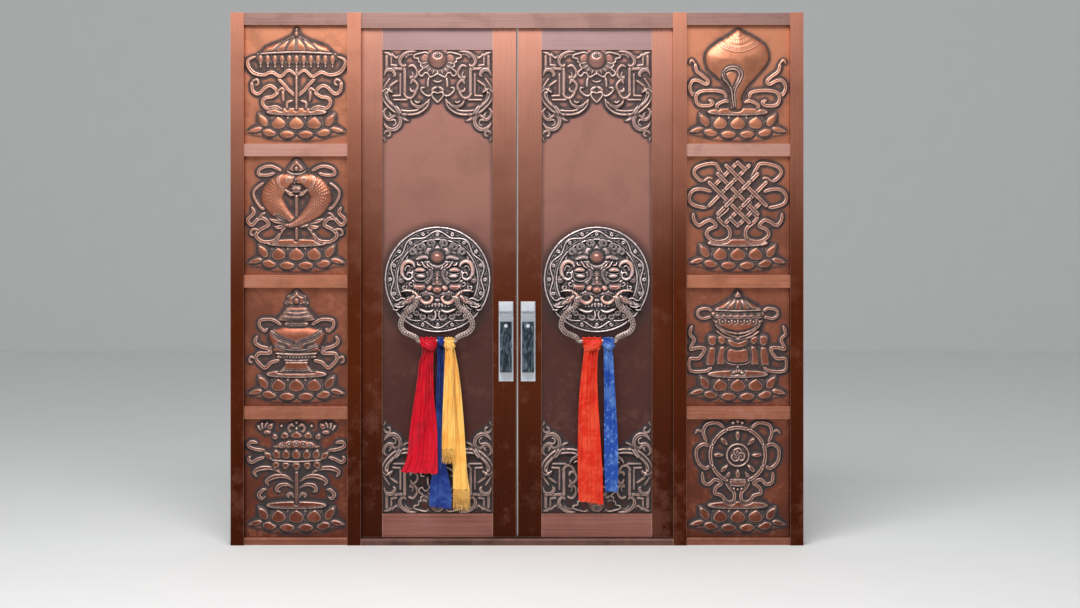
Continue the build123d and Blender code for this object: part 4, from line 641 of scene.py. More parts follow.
def conch_shell(die):
    for points in ([(-219, 109), (-211, 70), (-180, 45), (-152, 18), (-165, 2), (-200, 20), (-232, 20),
                    (-248, -15), (-232, -52), (-212, -40)], [(-60, -75), (-70, -42), (-130, -30),
                                                             (-198, -38), (-216, -72), (-200, -105),
                                                             (-145, -108), (-128, -92), (-150, -80)],
                   [(-35, -92), (-60, -84), (-85, -92), (-108, -108), (-100, -128)]):
        die.ribbon(points, 21, 12)
    die.ribbon([(-219, 109), (-238, 128), (-250, 108)], 14, 10)
    die.dome([(3, 287), (-47, 253), (-106, 218), (-154, 178), (-168, 139), (-154, 86), (-106, 38), (-59, -3),
              (-41, -50), (-43, -100), (-41, -131), (0, -139), (22, -127), (26, -100), (21, -68), (47, -15),
              (100, 44), (148, 103), (162, 145), (144, 200), (91, 241), (30, 271)], 30, rounded)
    for half, low, rise in ((112, 168, 46), (92, 190, 38), (68, 212, 30), (42, 234, 22), (20, 254, 14)):
        die.ribbon([(k / 4 * half, low + rise * (k / 4) ** 2) for k in range(-4, 5)], 6, 2.6, rounded,
                   both=False, over=True)
    for half, low, rise, count in ((100, 179, 42, 17), (58, 222, 26, 10)):
        for k in range(count):
            u = (2 * k / (count - 1) - 1) * half
            die.ribbon(oval(u, low + rise * (u / half) ** 2, 1.5, 1.5, count=6), 7, 2.4, rounded, both=False,
                       closed=True, over=True)
    die.ribbon([(-83, 56), (-65, 80), (-35, 92), (0, 86), (21, 56), (12, 21), (-9, -15), (-18, -50),
                (-12, -121)], [8, 11, 12, 12, 12, 11, 10, 9, 8], 36, rounded, both=False)
    die.ribbon([(-83, 56), (-74, 28), (-52, 4), (-34, -30), (-28, -80), (-22, -120)], 9, 33, rounded,
               both=False)
    die.dome([(-66, 52), (-40, 72), (-6, 66), (0, 46), (-14, 10), (-30, -16), (-46, 14)], 20, flat_top)


def endless_knot(die):
    for points in ([(-71, 195), (-100, 248), (-118, 269), (-165, 266), (-213, 248), (-225, 219), (-201, 189),
                    (-177, 177)], [(-136, 124), (-177, 136), (-225, 133), (-251, 100), (-242, 65),
                                   (-201, 47), (-160, 41)], [(-71, 71), (-53, 41), (-71, 18), (-100, -6),
                                                             (-83, -35), (-47, -65), (-41, -106),
                                                             (-71, -130), (-124, -130), (-160, -100),
                                                             (-148, -71), (-112, -53), (-136, -24),
                                                             (-165, -30), (-201, -50), (-225, -24),
                                                             (-230, 12)]):
        die.ribbon(points, 21, 12)
    die.ribbon([(-177, 177), (-150, 196), (-128, 190)], 14, 10)

    def place(p, q):
        return (p + q) / math.sqrt(2), 112 + (q - p) / math.sqrt(2)

    for p in (-62, 0, 62):
        die.ribbon([place(p, -146), place(p, 146)], 23, 15, channelled, tip=1.0, both=False)
    for p, low, high in ((-116, -62, 116), (116, -116, 62)):
        die.ribbon([place(p, low), place(p, high)], 23, 15, channelled, tip=1.0, both=False)
    for q in (-62, 0, 62):
        die.ribbon([place(-146, q), place(146, q)], 23, [15, 19, 15, 19, 15, 19, 15], channelled, tip=1.0,
                   both=False)
    for q, low, high in ((116, -116, -62), (-116, 62, 116)):
        die.ribbon([place(low, q), place(high, q)], 23, 15, channelled, tip=1.0, both=False)
    for index, p in enumerate((-62, 0, 62)):
        for step, q in enumerate((-62, 0, 62)):
            if (index + step) % 2:
                die.ribbon([place(p, q - 24), place(p, q + 24)], 23, 19, channelled, tip=1.0, both=False)


def victory_banner(die):
    die.ribbon([(-236, 107), (-248, 66), (-225, 36), (-245, -11), (-207, -5), (-171, -11), (-201, -59),
                (-248, -64), (-248, -118), (-207, -129), (-148, -118), (-136, -82)], 20, 12)
    die.ribbon([(-118, 164), (-150, 196), (-196, 192), (-208, 166), (-182, 146), (-150, 152), (-118, 160)],
               18, 13)
    die.ribbon([(0, -94), (0, -130)], 16, 12, rounded, tip=1.0, both=False)
    for turn in (70, 40, 14, -14, -40, -70):
        angle = math.radians(turn)
        die.dome(petal_edge(-26 * math.sin(angle), -138 + 14 * math.cos(angle), 18, 30, turn), 22, rimmed)
    for low, high, edge in ((-160, -112, -90), (-106, -60, -86)):
        die.dome([(low + 8, 0), (low - 8, edge), ((low + high) / 2 - 6, edge - 12), (high - 2, edge),
                  (high, 0)], 14, rimmed, both=True)
    die.dome([(-54, 0), (-66, -78), (0, -98), (66, -78), (54, 0)], 17, rimmed)
    for low, high, drop in ((-156, -108, 6), (-106, -58, 14)):
        die.dome([(low, 60), (low, drop + 8), ((low + high) / 2, drop - 8), (high, drop + 8), (high, 60)],
                 17, rimmed, both=True)
    die.dome([(-54, 58), (-54, 6), (0, -16), (54, 6), (54, 58)], 20, rimmed)
    die.ribbon([(-112, 83), (-71, 54), (-30, 40), (0, 26)], 12, 22)
    die.dome([(-120, 186), (-128, 142), (-108, 104), (-56, 80), (0, 72), (56, 80), (108, 104), (128, 142),
              (120, 186)], 24, rounded)
    die.ribbon([(-127, 140), (-95, 101), (-47, 76), (0, 68)], 12, 27)
    die.ribbon([(-118, 116), (-88, 84), (-44, 60), (0, 50)], 9, 25)
    die.ribbon([(-124, 152), (0, 146), (124, 152)], 8, 28, rounded, tip=0.8, both=False)
    die.beads([(-112 + 32 * k, 130) for k in range(8)], 9, 30)
    for k in range(-3, 4):
        die.ribbon([(36 * k - 16, 164), (36 * k, 176), (36 * k + 16, 164)], 6, 28, rounded, both=False)
    die.dome([(-116, 188), (-100, 210), (-60, 233), (-24, 250), (24, 250), (60, 233), (100, 210),
              (116, 188)], 24, rounded)
    die.ribbon([(-118, 190), (0, 186), (118, 190)], 10, 26, rounded, tip=0.8, both=False)
    for u in (-70, -24, 24, 70):
        die.ribbon([(u * 0.35, 244), (u, 196)], 6, 26, rounded, both=False)
    die.dome([(0, 294), (-12, 278), (-22, 262), (-12, 250), (12, 250), (22, 262), (12, 278)], 20, rimmed)


def dharma_wheel(die):
    for points in ([(-71, 257), (-106, 284), (-160, 275), (-177, 234), (-160, 186)],
                   [(-136, 157), (-177, 174), (-213, 145), (-207, 86), (-171, 50), (-142, 62)],
                   [(-41, 27), (-59, -9), (-47, -44), (-18, -80), (-24, -121), (-59, -121), (-83, -92),
                    (-118, -80), (-112, -50), (-83, -27), (-118, -9), (-148, -33), (-177, -21), (-183, 27)]):
        die.ribbon(points, 20, 12)
    die.ribbon([(-177, 234), (-206, 246), (-220, 228)], 13, 10)
    die.beads([(-24, 284), (0, 292), (24, 284)], 11, 14)
    for k in range(8):
        angle = math.radians(45 * k)
        die.dome(petal_edge(96 * math.sin(angle), 118 + 96 * math.cos(angle), 30, 62, -45 * k + 180), 15,
                 rimmed)
    die.ribbon([(u, v + 118) for u, v in oval(0, 0, 142, 142, count=36)], 22, 18, channelled, both=False,
               closed=True)
    die.beads([(142 * math.sin(math.radians(45 * k + 22.5)),
                118 + 142 * math.cos(math.radians(45 * k + 22.5))) for k in range(8)], 8, 22)
    die.dome(oval(0, 118, 64, 64), 14, flat_top)
    die.ribbon([(u, v + 118) for u, v in oval(0, 0, 57, 57, count=24)], 11, 19, rounded, both=False,
               closed=True)
    die.dome(oval(0, 118, 46, 46), 17, rounded)
    for k in range(3):
        angle = math.radians(120 * k)
        places = [(r * math.sin(angle + turn), 118 + r * math.cos(angle + turn))
                  for r, turn in ((8, 0.0), (20, 0.9), (34, 1.5), (36, 2.3), (26, 2.9))]
        die.ribbon(places, 12, 24, rounded, both=False)
    die.dome([(-38, -4), (-36, -42), (36, -42), (38, -4)], 17, flat_top)
    die.ribbon([(-40, -8), (0, -11), (40, -8)], 9, 21, rounded, tip=0.8, both=False)
    die.ribbon([(-38, -38), (0, -41), (38, -38)], 9, 21, rounded, tip=0.8, both=False)
    die.beads([(-20, -56), (0, -60), (20, -56)], 9, 15)


panel_copper = chased_copper("panel_copper", PANEL_FOOT, PANEL_TONE, PANEL_HEAD, stain=0.3, metal=0.75,
                             rough=0.41)
throne_die = Die(PANEL_WIDTH, PANEL_HEIGHT, PANEL_STEP)
throne(throne_die)
for side, symbols in ((-1, (("lotus_panel", lotus_flower), ("vase_panel", treasure_vase),
                            ("fish_panel", golden_fish), ("parasol_panel", parasol))),
                      (1, (("wheel_panel", dharma_wheel), ("banner_panel", victory_banner),
                           ("knot_panel", endless_knot), ("conch_panel", conch_shell)))):
    for index, (node, symbol) in enumerate(symbols):
        die = Die(PANEL_WIDTH, PANEL_HEIGHT, PANEL_STEP)
        die.h = throne_die.h.copy()
        symbol(die)
        sheet = beaten_sheet(node.replace("_panel", "_relief"), side * PANEL_MIDDLE + die.u[::2],
                             PANEL_LOWEST + index * PANEL_PITCH + die.v[::2], die.finished(), PANEL_FACE)
        sheet.data.materials.append(panel_copper)
        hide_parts(node)
        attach(sheet, "frame")


# Leaf stiles and rails: each leaf is a timber core wrapped in smooth brushed copper, with its lines drawn up
# the stiles and across the rails. Its colour is paler and pinker upwards and almost black-brown at the foot:
# partly patina, partly a painted reflection of the sky above and the dark ground in front.
stile_copper = copper_sheet("stile_copper", (0.070, 0.014, 0.0055, 1), (0.185, 0.040, 0.015, 1),
                            (0.74, 0.33, 0.235, 1), (190.0, 190.0, 1.6), stain=0.12, rough=0.32, metal=1.0,
                            edge=0.9, scale=2.2)
leaf_rail_copper = copper_sheet("leaf_rail_copper", (0.37, 0.145, 0.112, 1), (0.40, 0.18, 0.14, 1),
                                (0.46, 0.285, 0.28, 1), (1.6, 190.0, 190.0), stain=0.14, rough=0.32,
                                metal=0.7, edge=0.9, scale=2.2)
dress(("hinge_stile_left", "hinge_stile_right", "meeting_stile_left", "meeting_stile_right"), stile_copper)
dress(("leaf_rails_left", "leaf_rails_right"), leaf_rail_copper)


# Leaf fields: the sunk copper sheet of each leaf, with a beaten ornament of frets and scrolls hung from its
# top and the same one turned over at its foot. Places are (right, up) from the middle of the top edge. Sizes
# of the darkening round the mask and along the field's sides are in metres.
FIELD_MIDDLE, FIELD_WIDTH, FIELD_FACE = 411.75, 570.5, 12.0
FIELD_BOTTOM, FIELD_TOP, ORNAMENT_HEIGHT = 157.0, 2557.0, 486.0
FIELD_STEP = 3.6
DARK_RING_HEIGHT, DARK_RING_NEAR, DARK_RING_FAR = 1.345, 0.285, 0.345
DARK_SIDE_FROM, DARK_SIDE_TO = 0.262, 0.2855


def field_ornament(die):
    lift = ORNAMENT_HEIGHT / 2

    def strand(points, width, height, shape=channelled, tip=0.5, both=True):
        die.ribbon([(u, v + lift) for u, v in points], width, height, shape, tip, both)

    def form(points, height, shape=rounded, both=True):
        die.dome([(u, v + lift) for u, v in points], height, shape, both)

    strand([(-282, -12), (-256, -18), (-238, -32), (-250, -40)], [8, 16, 14, 8], 10)
    strand([(-236, -14), (-222, -36), (-206, -40), (-198, -24)], [7, 12, 14, 8], 10)
    for points in ([(-264, -34), (-264, -96)], [(-264, -96), (-170, -99)], [(-170, -99), (-170, -222)],
                   [(-193, -126), (-193, -236)], [(-193, -236), (-232, -238)], [(-228, -258), (-160, -258)],
                   [(-240, -44), (-240, -78)], [(-240, -78), (-212, -80)]):
        strand(points, 17 if points[0][0] in (-264, -170) else 12, 12, tip=1.0)
    strand([(-107, -8), (-148, -10), (-180, -28), (-196, -58), (-186, -80), (-168, -82), (-164, -68)],
           [8, 16, 20, 20, 16, 14, 10], 14)
    strand([(-122, -24), (-150, -26), (-170, -44)], 9, 10)
    strand([(-152, -88), (-127, -80), (-107, -108), (-111, -138), (-136, -150), (-142, -134)], 15, 13)
    strand([(-136, -112), (-126, -128), (-136, -142)], 8, 11, rounded)
    strand([(-140, -176), (-127, -156), (-103, -182), (-113, -212), (-138, -212), (-140, -196)], 15, 13)
    strand([(-176, -224), (-158, -246), (-132, -246), (-110, -214)], 15, 12)
    form(oval(0, -56, 92, 70), 5, flat_top, False)
    strand([(-44, -22), (-62, -12), (-84, -16), (-118, -26), (-122, -40), (-98, -46), (-98, -62), (-84, -68),
            (-88, -84), (-72, -94), (-92, -110), (-96, -126), (-80, -136), (-66, -118), (-50, -122),
            (-40, -140), (-20, -134), (0, -120)], 10, 13, rounded, 0.7)
    for k in range(-4, 5):
        angle = math.radians(180 + 19 * k)
        strand([(54 * math.sin(angle), -51 + 54 * math.cos(angle)),
                (84 * math.sin(angle), -53 + 76 * math.cos(angle))], 9, 10, rounded, 0.6, False)
    form(oval(0, -51, 46, 46), 25, rounded, False)
    for u, v in ((0, -36), (-11, -30), (11, -30), (0, -24)):
        form(oval(u, v, 6.5, 6.5, count=10), 29, rounded, False)
    strand([(-46, -144), (-50, -168), (-50, -192)], 14, 11, rounded)
    strand([(-24, -158), (0, -166), (24, -158)], 9, 11, rounded, 0.6, False)
    strand([(-66, -196), (-84, -196), (-84, -212), (-64, -232), (-44, -238), (-32, -226), (-26, -208),
            (0, -190)], 12, 13, rounded, 0.7)
    strand([(-34, -212), (-22, -196), (0, -190)], 9, 12, rounded)
    strand([(0, -226), (-16, -218), (-30, -226), (-24, -246), (0, -272)], 11, 14, rounded, 0.8)
    strand([(-278, -136), (-266, -108), (-238, -104), (-220, -128), (-232, -140)], [9, 17, 20, 18, 10], 14)
    strand([(-246, -146), (-264, -172), (-283, -202)], 12, 11)
    strand([(-206, -158), (-238, -180), (-268, -206)], 14, 12)
    strand([(-233, -210), (-262, -208), (-278, -226), (-268, -262), (-240, -294), (-206, -318), (-148, -326),
            (-98, -318), (-60, -290), (-42, -254)], [18, 24, 28, 32, 34, 34, 34, 32, 26, 14], 22)
    strand([(-256, -222), (-252, -252), (-226, -284), (-190, -306)], 7, 25, rounded)
    for a, b in (((-246, -196), (-262, -228)), ((-266, -200), (-232, -222)), ((-222, -294), (-196, -334)),
                 ((-212, -290), (-186, -330))):
        strand([a, b], 12, 26, rounded, 0.8)
    strand([(-140, -258), (-128, -282), (-100, -296), (-74, -290), (-60, -270)], [10, 16, 20, 18, 10], 27)
    strand([(-120, -262), (-104, -274), (-88, -266)], 12, 24, rounded)
    strand([(-262, -300), (-278, -318), (-272, -346), (-250, -362), (-232, -346), (-212, -338), (-192, -360),
            (-200, -394), (-228, -412), (-260, -402), (-279, -376)],
           [10, 16, 18, 18, 16, 16, 20, 22, 22, 18, 10], 15)
    strand([(-256, -322), (-240, -336), (-256, -344)], 8, 12, rounded)
    strand([(-244, -368), (-222, -362), (-216, -384), (-236, -394)], 9, 13, rounded)
    strand([(-188, -336), (-172, -358), (-144, -368)], [8, 16, 6], 12)
    strand([(-176, -344), (-164, -342), (-158, -334)], 8, 10, rounded)
    strand([(-279, -438), (-266, -420), (-246, -426), (-248, -444), (-262, -446)], 12, 12)
    strand([(-281, -452), (-270, -474)], 9, 10)


def field_copper():
    """Beaten copper as on the panels, toned by height with partly painted reflection, darker round the mask
    and at the sides.
    """
    material = chased_copper("field_copper", (0.070, 0.021, 0.017, 1), (0.100, 0.033, 0.026, 1),
                             (0.36, 0.160, 0.125, 1), (0.018, 0.016, 0.019, 1), (0.80, 0.58, 0.50, 1),
                             stain=0.13, scale=4.2, rough=0.40, halo=0.95, strand=(0.30, 0.165, 0.135, 1),
                             bounds=(1.0, 1.95), metal=0.65)
    tree = material.node_tree
    shader = tree.nodes["Principled BSDF"].inputs
    place = object_place(tree)
    parts = add_node(tree, "ShaderNodeSeparateXYZ", {"Vector": place}).outputs
    # Darker in a ring round the mask and along the field's sides.
    across = math_node(tree, "SUBTRACT", math_node(tree, "ABSOLUTE", parts["X"]), FIELD_MIDDLE / 1000)
    up = math_node(tree, "SUBTRACT", parts["Z"], DARK_RING_HEIGHT)
    reach = math_node(tree, "SQRT", math_node(tree, "ADD", math_node(tree, "MULTIPLY", across, across),
                                              math_node(tree, "MULTIPLY", up, up)))
    darkened = ramp(tree, reach, DARK_RING_FAR, DARK_RING_NEAR, 0.0, 0.78)
    darkened_sides = ramp(tree, math_node(tree, "ABSOLUTE", across), DARK_SIDE_FROM, DARK_SIDE_TO, 0.0, 0.5)
    darkened = math_node(tree, "MAXIMUM", darkened, darkened_sides)
    old = shader["Base Color"].links[0].from_socket
    tree.links.new(mix(tree, darkened, old, (0.05, 0.030, 0.028, 1)), shader["Base Color"])
    return material


ornament_die = Die(FIELD_WIDTH, ORNAMENT_HEIGHT, FIELD_STEP, 7.0)
field_ornament(ornament_die)
top_forms = ornament_die.finished(9.0, 3.2)
plain_ups = np.linspace(FIELD_BOTTOM + ORNAMENT_HEIGHT, FIELD_TOP - ORNAMENT_HEIGHT, 8)[1:-1]
foot_ups = FIELD_BOTTOM + ORNAMENT_HEIGHT / 2 + ornament_die.v[::2]
head_ups = FIELD_TOP - ORNAMENT_HEIGHT / 2 + ornament_die.v[::2]
field_material = field_copper()
for name, side in (("left", -1), ("right", 1)):
    forms = [np.vstack([np.flipud(form), np.zeros((len(plain_ups), form.shape[1])), form])
             for form in top_forms]
    sheet = beaten_sheet(f"field_relief_{name}", side * FIELD_MIDDLE + ornament_die.u[::2],
                         np.concatenate([foot_ups, plain_ups, head_ups]), forms, FIELD_FACE)
    sheet.data.materials.append(field_material)
    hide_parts(f"leaf_field_{name}")
    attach(sheet, f"leaf_{name}")


# Lion masks: a thick cast and chased copper disc on each field, a vine between two rims round the lion's
# face, and at its mouth's corners two small beasts' heads that hold the ring. Places are (right, up) from
# its middle.
MASK_MIDDLE, MASK_RADIUS, MASK_STEP = 1369.0, 277.0, 2.9
VINE_RADIUS, VINE_TURNS = 238.5, 20


def curl(u, v, radius, turn, hand=1, laps=1.35, start=0.18):
    """Places along a spiral that ends in its eye; turn is where its tail leaves, in degrees from up."""
    places = []
    for k in range(15):
        share = k / 14
        angle = math.radians(turn) - hand * 2 * math.pi * laps * share
        reach = radius * (1 - (1 - start) * share)
        places.append((u - reach * math.sin(angle), v + reach * math.cos(angle)))
    return places


def mask_border(die):
    die.dome(oval(0, 0, 279, 279, count=48), 9, flat_top)
    for radius, width, height in ((269.5, 10, 14), (257.5, 6, 12), (219.5, 7, 14), (208.5, 10, 19)):
        die.ribbon(oval(0, 0, radius, radius, count=48), width, height, rounded, both=False, closed=True)
    wave = []
    for k in range(VINE_TURNS * 4):
        angle = 2 * math.pi * k / (VINE_TURNS * 4)
        reach = VINE_RADIUS + 12 * math.cos(VINE_TURNS / 2 * angle)
        wave.append((reach * math.sin(angle), reach * math.cos(angle)))
    die.ribbon(wave, 9.5, 17, rounded, both=False, closed=True)
    for k in range(VINE_TURNS):
        angle = 2 * math.pi * k / VINE_TURNS
        bay = 1 if k % 2 else -1
        reach = VINE_RADIUS + bay * 5.0
        die.ribbon(curl(reach * math.sin(angle), reach * math.cos(angle), 11,
                        -math.degrees(angle) + 90 * bay, bay, 1.2, 0.25), [5, 7.5, 8, 9], 18, rounded,
                   both=False)
        for way in (-1, 1):
            die.ribbon([((reach + bay * rise) * math.sin(angle + way * lean),
                         (reach + bay * rise) * math.cos(angle + way * lean)) for rise,
                        lean in ((-1, 0.07), (4, 0.11), (9, 0.15))], [4, 8, 3], 15, rounded, both=False)


def lion_brow(die):
    for u, v, radius, turn, tail in ((-34, 186, 21, -80, [(-20, 168), (-30, 152), (-44, 138)]),
                                     (-85, 167, 21, -70, [(-66, 152), (-74, 136), (-92, 122)]),
                                     (-126, 143, 20, -62, [(-107, 132), (-114, 114), (-132, 100)])):
        die.ribbon(list(reversed(tail)) + curl(u, v, radius, turn - 10, -1, 1.35), [8, 13, 14, 12, 9], 34,
                   channelled, 0.6)
    die.ribbon([(-150, 122), (-160, 108), (-172, 92)], [5, 9, 5], 27, rounded)
    die.ribbon([(-140, 112), (-150, 100), (-160, 92)], [5, 9, 5], 29, rounded)
    die.dome([(-40, 122), (-66, 132), (-100, 124), (-118, 104), (-96, 94), (-66, 98), (-40, 100)], 44,
             rounded, True)
    die.ribbon([(-116, 62), (-124, 84), (-150, 94), (-174, 78), (-182, 46), (-175, 14), (-151, 1),
                (-130, 12), (-133, 33), (-152, 36), (-155, 21)],
               [14, 24, 28, 28, 26, 24, 20, 17, 14, 12, 10], [44, 48, 50, 50, 48, 46, 44, 43, 42, 42, 44],
               rounded, 0.7)
    die.ribbon([(-136, 60), (-150, 72), (-164, 60), (-166, 42)], 9, 43, rounded)
    for points in ([(-104, 96), (-98, 76), (-82, 74)], [(-84, 98), (-74, 84), (-62, 66), (-44, 58)],
                   [(-56, 88), (-48, 74), (-34, 62)], [(-30, 74), (-24, 58), (-16, 50)]):
        die.ribbon(points, [6, 12, 14, 9][:len(points)], 51, rounded, 0.6)
    die.dome(oval(0, 115, 44, 41), 58)


def lion_eyes_and_nose(die):
    die.dome(oval(-89, 28, 52, 40, -6), 32, flat_top, True)
    die.dome(oval(-84, 19, 30, 19, -4), 47, rounded, True)
    die.ribbon([(-120, 36), (-104, 30), (-84, 28), (-58, 34)], 7, 49, rounded)
    die.dome([(-124, 42), (-112, 60), (-88, 68), (-64, 60), (-54, 44), (-72, 36), (-96, 35)], 51, rounded,
             True)
    die.ribbon([(-122, 18), (-112, -2), (-86, -10), (-60, -2), (-44, 14)], 8, 46, rounded)
    die.dome([(-94, -14), (-62, -18), (-52, -38), (-66, -60), (-100, -64), (-134, -44), (-126, -18)], 50,
             rounded, True)
    die.dome([(-16, 52), (-20, 20), (-34, -8), (-48, -34), (-40, -52), (-18, -58), (0, -68), (18, -58),
              (40, -52), (48, -34), (34, -8), (20, 20), (16, 52)], 52, rounded)
    for v, half in ((40, 14), (31, 17), (21, 19)):
        die.ribbon([(-half, v), (0, v - 3), (half, v)], 8, 55, rounded, both=False)
    for v in (6, -6, -18):
        die.ribbon([(-26, v + 12), (0, v - 8), (26, v + 12)], 6.5, 55, rounded, both=False)
    die.dome(oval(-35, -44, 25, 20, 12), 56, rounded, True)
    die.dome(oval(0, -51, 31, 25), 58)
    die.dome(oval(-184, -4, 22, 20), 26, rounded, True)
    die.ribbon([(-200, 10), (-190, 16), (-178, 12)], 9, 24, rounded)


def lion_mouth(die):
    die.dome([(-104, -92), (-60, -84), (0, -80), (60, -84), (104, -92), (108, -124), (70, -150), (0, -156),
              (-70, -150), (-108, -124)], 22, flat_top)
    for u in (-58, -42, -26, -9):
        die.dome([(u - 8, -120), (u + 8, -120), (u + 7, -138), (u, -146), (u - 7, -138)], 34, flat_top, True)
    die.dome(oval(0, -106, 22, 14), 34)
    die.ribbon([(-98, -150), (-78, -158), (-56, -166), (-34, -164), (-18, -154)], [12, 18, 20, 18, 12], 44,
               rounded)
    die.ribbon([(-14, -160), (-8, -182), (-16, -206), (-36, -210)], [12, 14, 12, 8], 38, rounded)
    for u, v, radius, turn in ((-107, -172, 17, 40), (-73, -192, 18, 30), (-31, -192, 18, 10)):
        die.ribbon(curl(u, v, radius, turn, -1, 1.3), [10, 12, 11, 8], 34, channelled, 0.7)
    for u, v, radius, turn in ((-170, -40, 15, -30), (-136, -22, 15, -60)):
        die.ribbon(curl(u, v, radius, turn, 1, 1.2), [8, 10, 8], 41, rounded)
    die.beads([(sign * (-132 + 11.5 * k), -36 - 9.8 * k) for k in range(6) for sign in (1, -1)], 5.5, 49)
    die.ribbon([(-190, -64), (-162, -56), (-128, -60), (-104, -80), (-84, -106), (-60, -120), (-36, -114),
                (-24, -94), (-38, -82)], [8, 14, 20, 24, 27, 28, 26, 20, 12], 52, rounded, 0.5)


def beast_heads(die):
    """A small horned head at each corner of the mouth, jaws towards the rim."""
    die.ribbon([(-120, -84), (-140, -104), (-172, -118), (-214, -132)], [32, 46, 40, 22], [44, 50, 46, 38],
               rounded, 0.7)
    die.ribbon([(-128, -76), (-122, -66), (-132, -60)], 12, 50, rounded)
    die.ribbon([(-160, -102), (-184, -96), (-206, -108), (-226, -104)], [10, 12, 10, 6], 45, rounded)
    die.ribbon([(-168, -134), (-190, -142), (-214, -140), (-228, -126)], [10, 11, 9, 6], 44, rounded)
    die.ribbon([(-176, -116), (-196, -122), (-220, -124)], 6, 49, rounded)
    die.dome(oval(-152, -104, 9, 7), 55, rounded, True)
    for points in ([(-146, -128), (-162, -148), (-184, -158)], [(-132, -120), (-142, -142), (-158, -158)],
                   [(-196, -152), (-214, -158), (-232, -150)]):
        die.ribbon(points, [10, 11, 5], 36, rounded)
    die.beads([(sign * u, v) for u, v in ((-168, -112), (-180, -114), (-160, -124), (-186, -128))
               for sign in (1, -1)], 4.5, 53)


def redden(material):
    """The face's highest forms are polished back to copper, and its ground stays blue-black."""
    tree = material.node_tree
    shader = tree.nodes["Principled BSDF"].inputs
    chased = add_node(tree, "ShaderNodeAttribute", attribute_name="chasing").outputs["Color"]
    height = add_node(tree, "ShaderNodeSeparateColor", {"Color": chased}).outputs["Blue"]
    low = mix(tree, ramp(tree, height, 0.10, 0.24), (0.42, 0.42, 0.48, 1), (1.15, 1.15, 1.18, 1))
    tint = mix(tree, ramp(tree, height, 0.66, 0.86), low, (1.75, 1.08, 0.92, 1))
    old = shader["Base Color"].links[0].from_socket
    tree.links.new(mix(tree, 1.0, old, tint, "MULTIPLY"), shader["Base Color"])


def trim_to_disc(sheet, middle, radius):
    """Cuts the square sheet to a disc and draws its edge back to the field."""
    mesh = sheet.data
    places = np.empty(len(mesh.vertices) * 3)
    mesh.vertices.foreach_get("co", places)
    places = places.reshape(-1, 3)
    reach = np.hypot(places[:, 0] - middle[0], places[:, 2] - middle[1])
    bpy.ops.object.mode_set(mode="EDIT")
    bpy.ops.mesh.select_all(action="DESELECT")
    bpy.ops.object.mode_set(mode="OBJECT")
    mesh.vertices.foreach_set("select", reach > radius)
    bpy.ops.object.mode_set(mode="EDIT")
    bpy.ops.mesh.delete(type="VERT")
    bpy.ops.mesh.select_all(action="SELECT")
    bpy.ops.mesh.region_to_loop()
    bpy.ops.object.mode_set(mode="OBJECT")
    for vertex in mesh.vertices:
        if vertex.select:
            u, v = vertex.co.x - middle[0], vertex.co.z - middle[1]
            share = radius / math.hypot(u, v)
            vertex.co.x, vertex.co.z = middle[0] + u * share, middle[1] + v * share
    bpy.ops.object.mode_set(mode="EDIT")
    bpy.ops.mesh.extrude_region_move(TRANSFORM_OT_translate={"value": (0, 0.012, 0)})
    bpy.ops.object.mode_set(mode="OBJECT")
    for vertex in mesh.vertices:
        if vertex.select:
            vertex.co.y = -FIELD_FACE / 1000


mask_die = Die(2 * MASK_RADIUS + 6, 2 * MASK_RADIUS + 6, MASK_STEP, 6.0)
mask_border(mask_die)
mask_die.dome(oval(0, -2, 190, 196, count=36), 37, lambda r, along, across: (1 - r ** 3.2) ** 0.6)
lion_brow(mask_die)
lion_eyes_and_nose(mask_die)
lion_mouth(mask_die)
beast_heads(mask_die)
mask_forms = mask_die.finished(7.0, 4.2)
# Near-white crests: partly polish, partly a painted highlight.
mask_copper = chased_copper("mask_copper", (0.155, 0.112, 0.106, 1), (0.195, 0.136, 0.130, 1),
                            (0.24, 0.165, 0.158, 1), (0.010, 0.010, 0.013, 1), (0.98, 0.80, 0.74, 1),
                            stain=0.3, scale=11.0, rough=0.32, metal=0.6, halo=1.0, shine=1.0)
redden(mask_copper)
for name, side in (("left", -1), ("right", 1)):
    mask = beaten_sheet(f"lion_face_{name}", side * FIELD_MIDDLE + mask_die.u[::2],
                        MASK_MIDDLE + mask_die.v[::2], mask_forms, FIELD_FACE)
    trim_to_disc(mask, (side * FIELD_MIDDLE / 1000, MASK_MIDDLE / 1000), MASK_RADIUS / 1000)
    mask.data.materials.append(mask_copper)
    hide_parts(f"lion_mask_{name}")
    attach(mask, f"leaf_{name}")


# Ring knockers: a heavy cast ring waved like two dragons' bodies, scaled all over, with a plain straight bar
# at its foot where the scarves are tied. It turns on two stubs in the corners of the lion's mouth.
RING_Y, RING_LINE = -82.0, [(80, -91), (96, -91), (107, -99), (106, -116), (120, -142), (150, -164),
                            (174, -194), (184, -235), (165, -267), (128, -285), (104, -297), (92, -315),
                            (60, -315), (0, -315)]
RING_GIRTH = [8, 10, 13, 14.5, 14.5, 15, 15.5, 16, 16, 15, 13.5, 12, 12, 12]


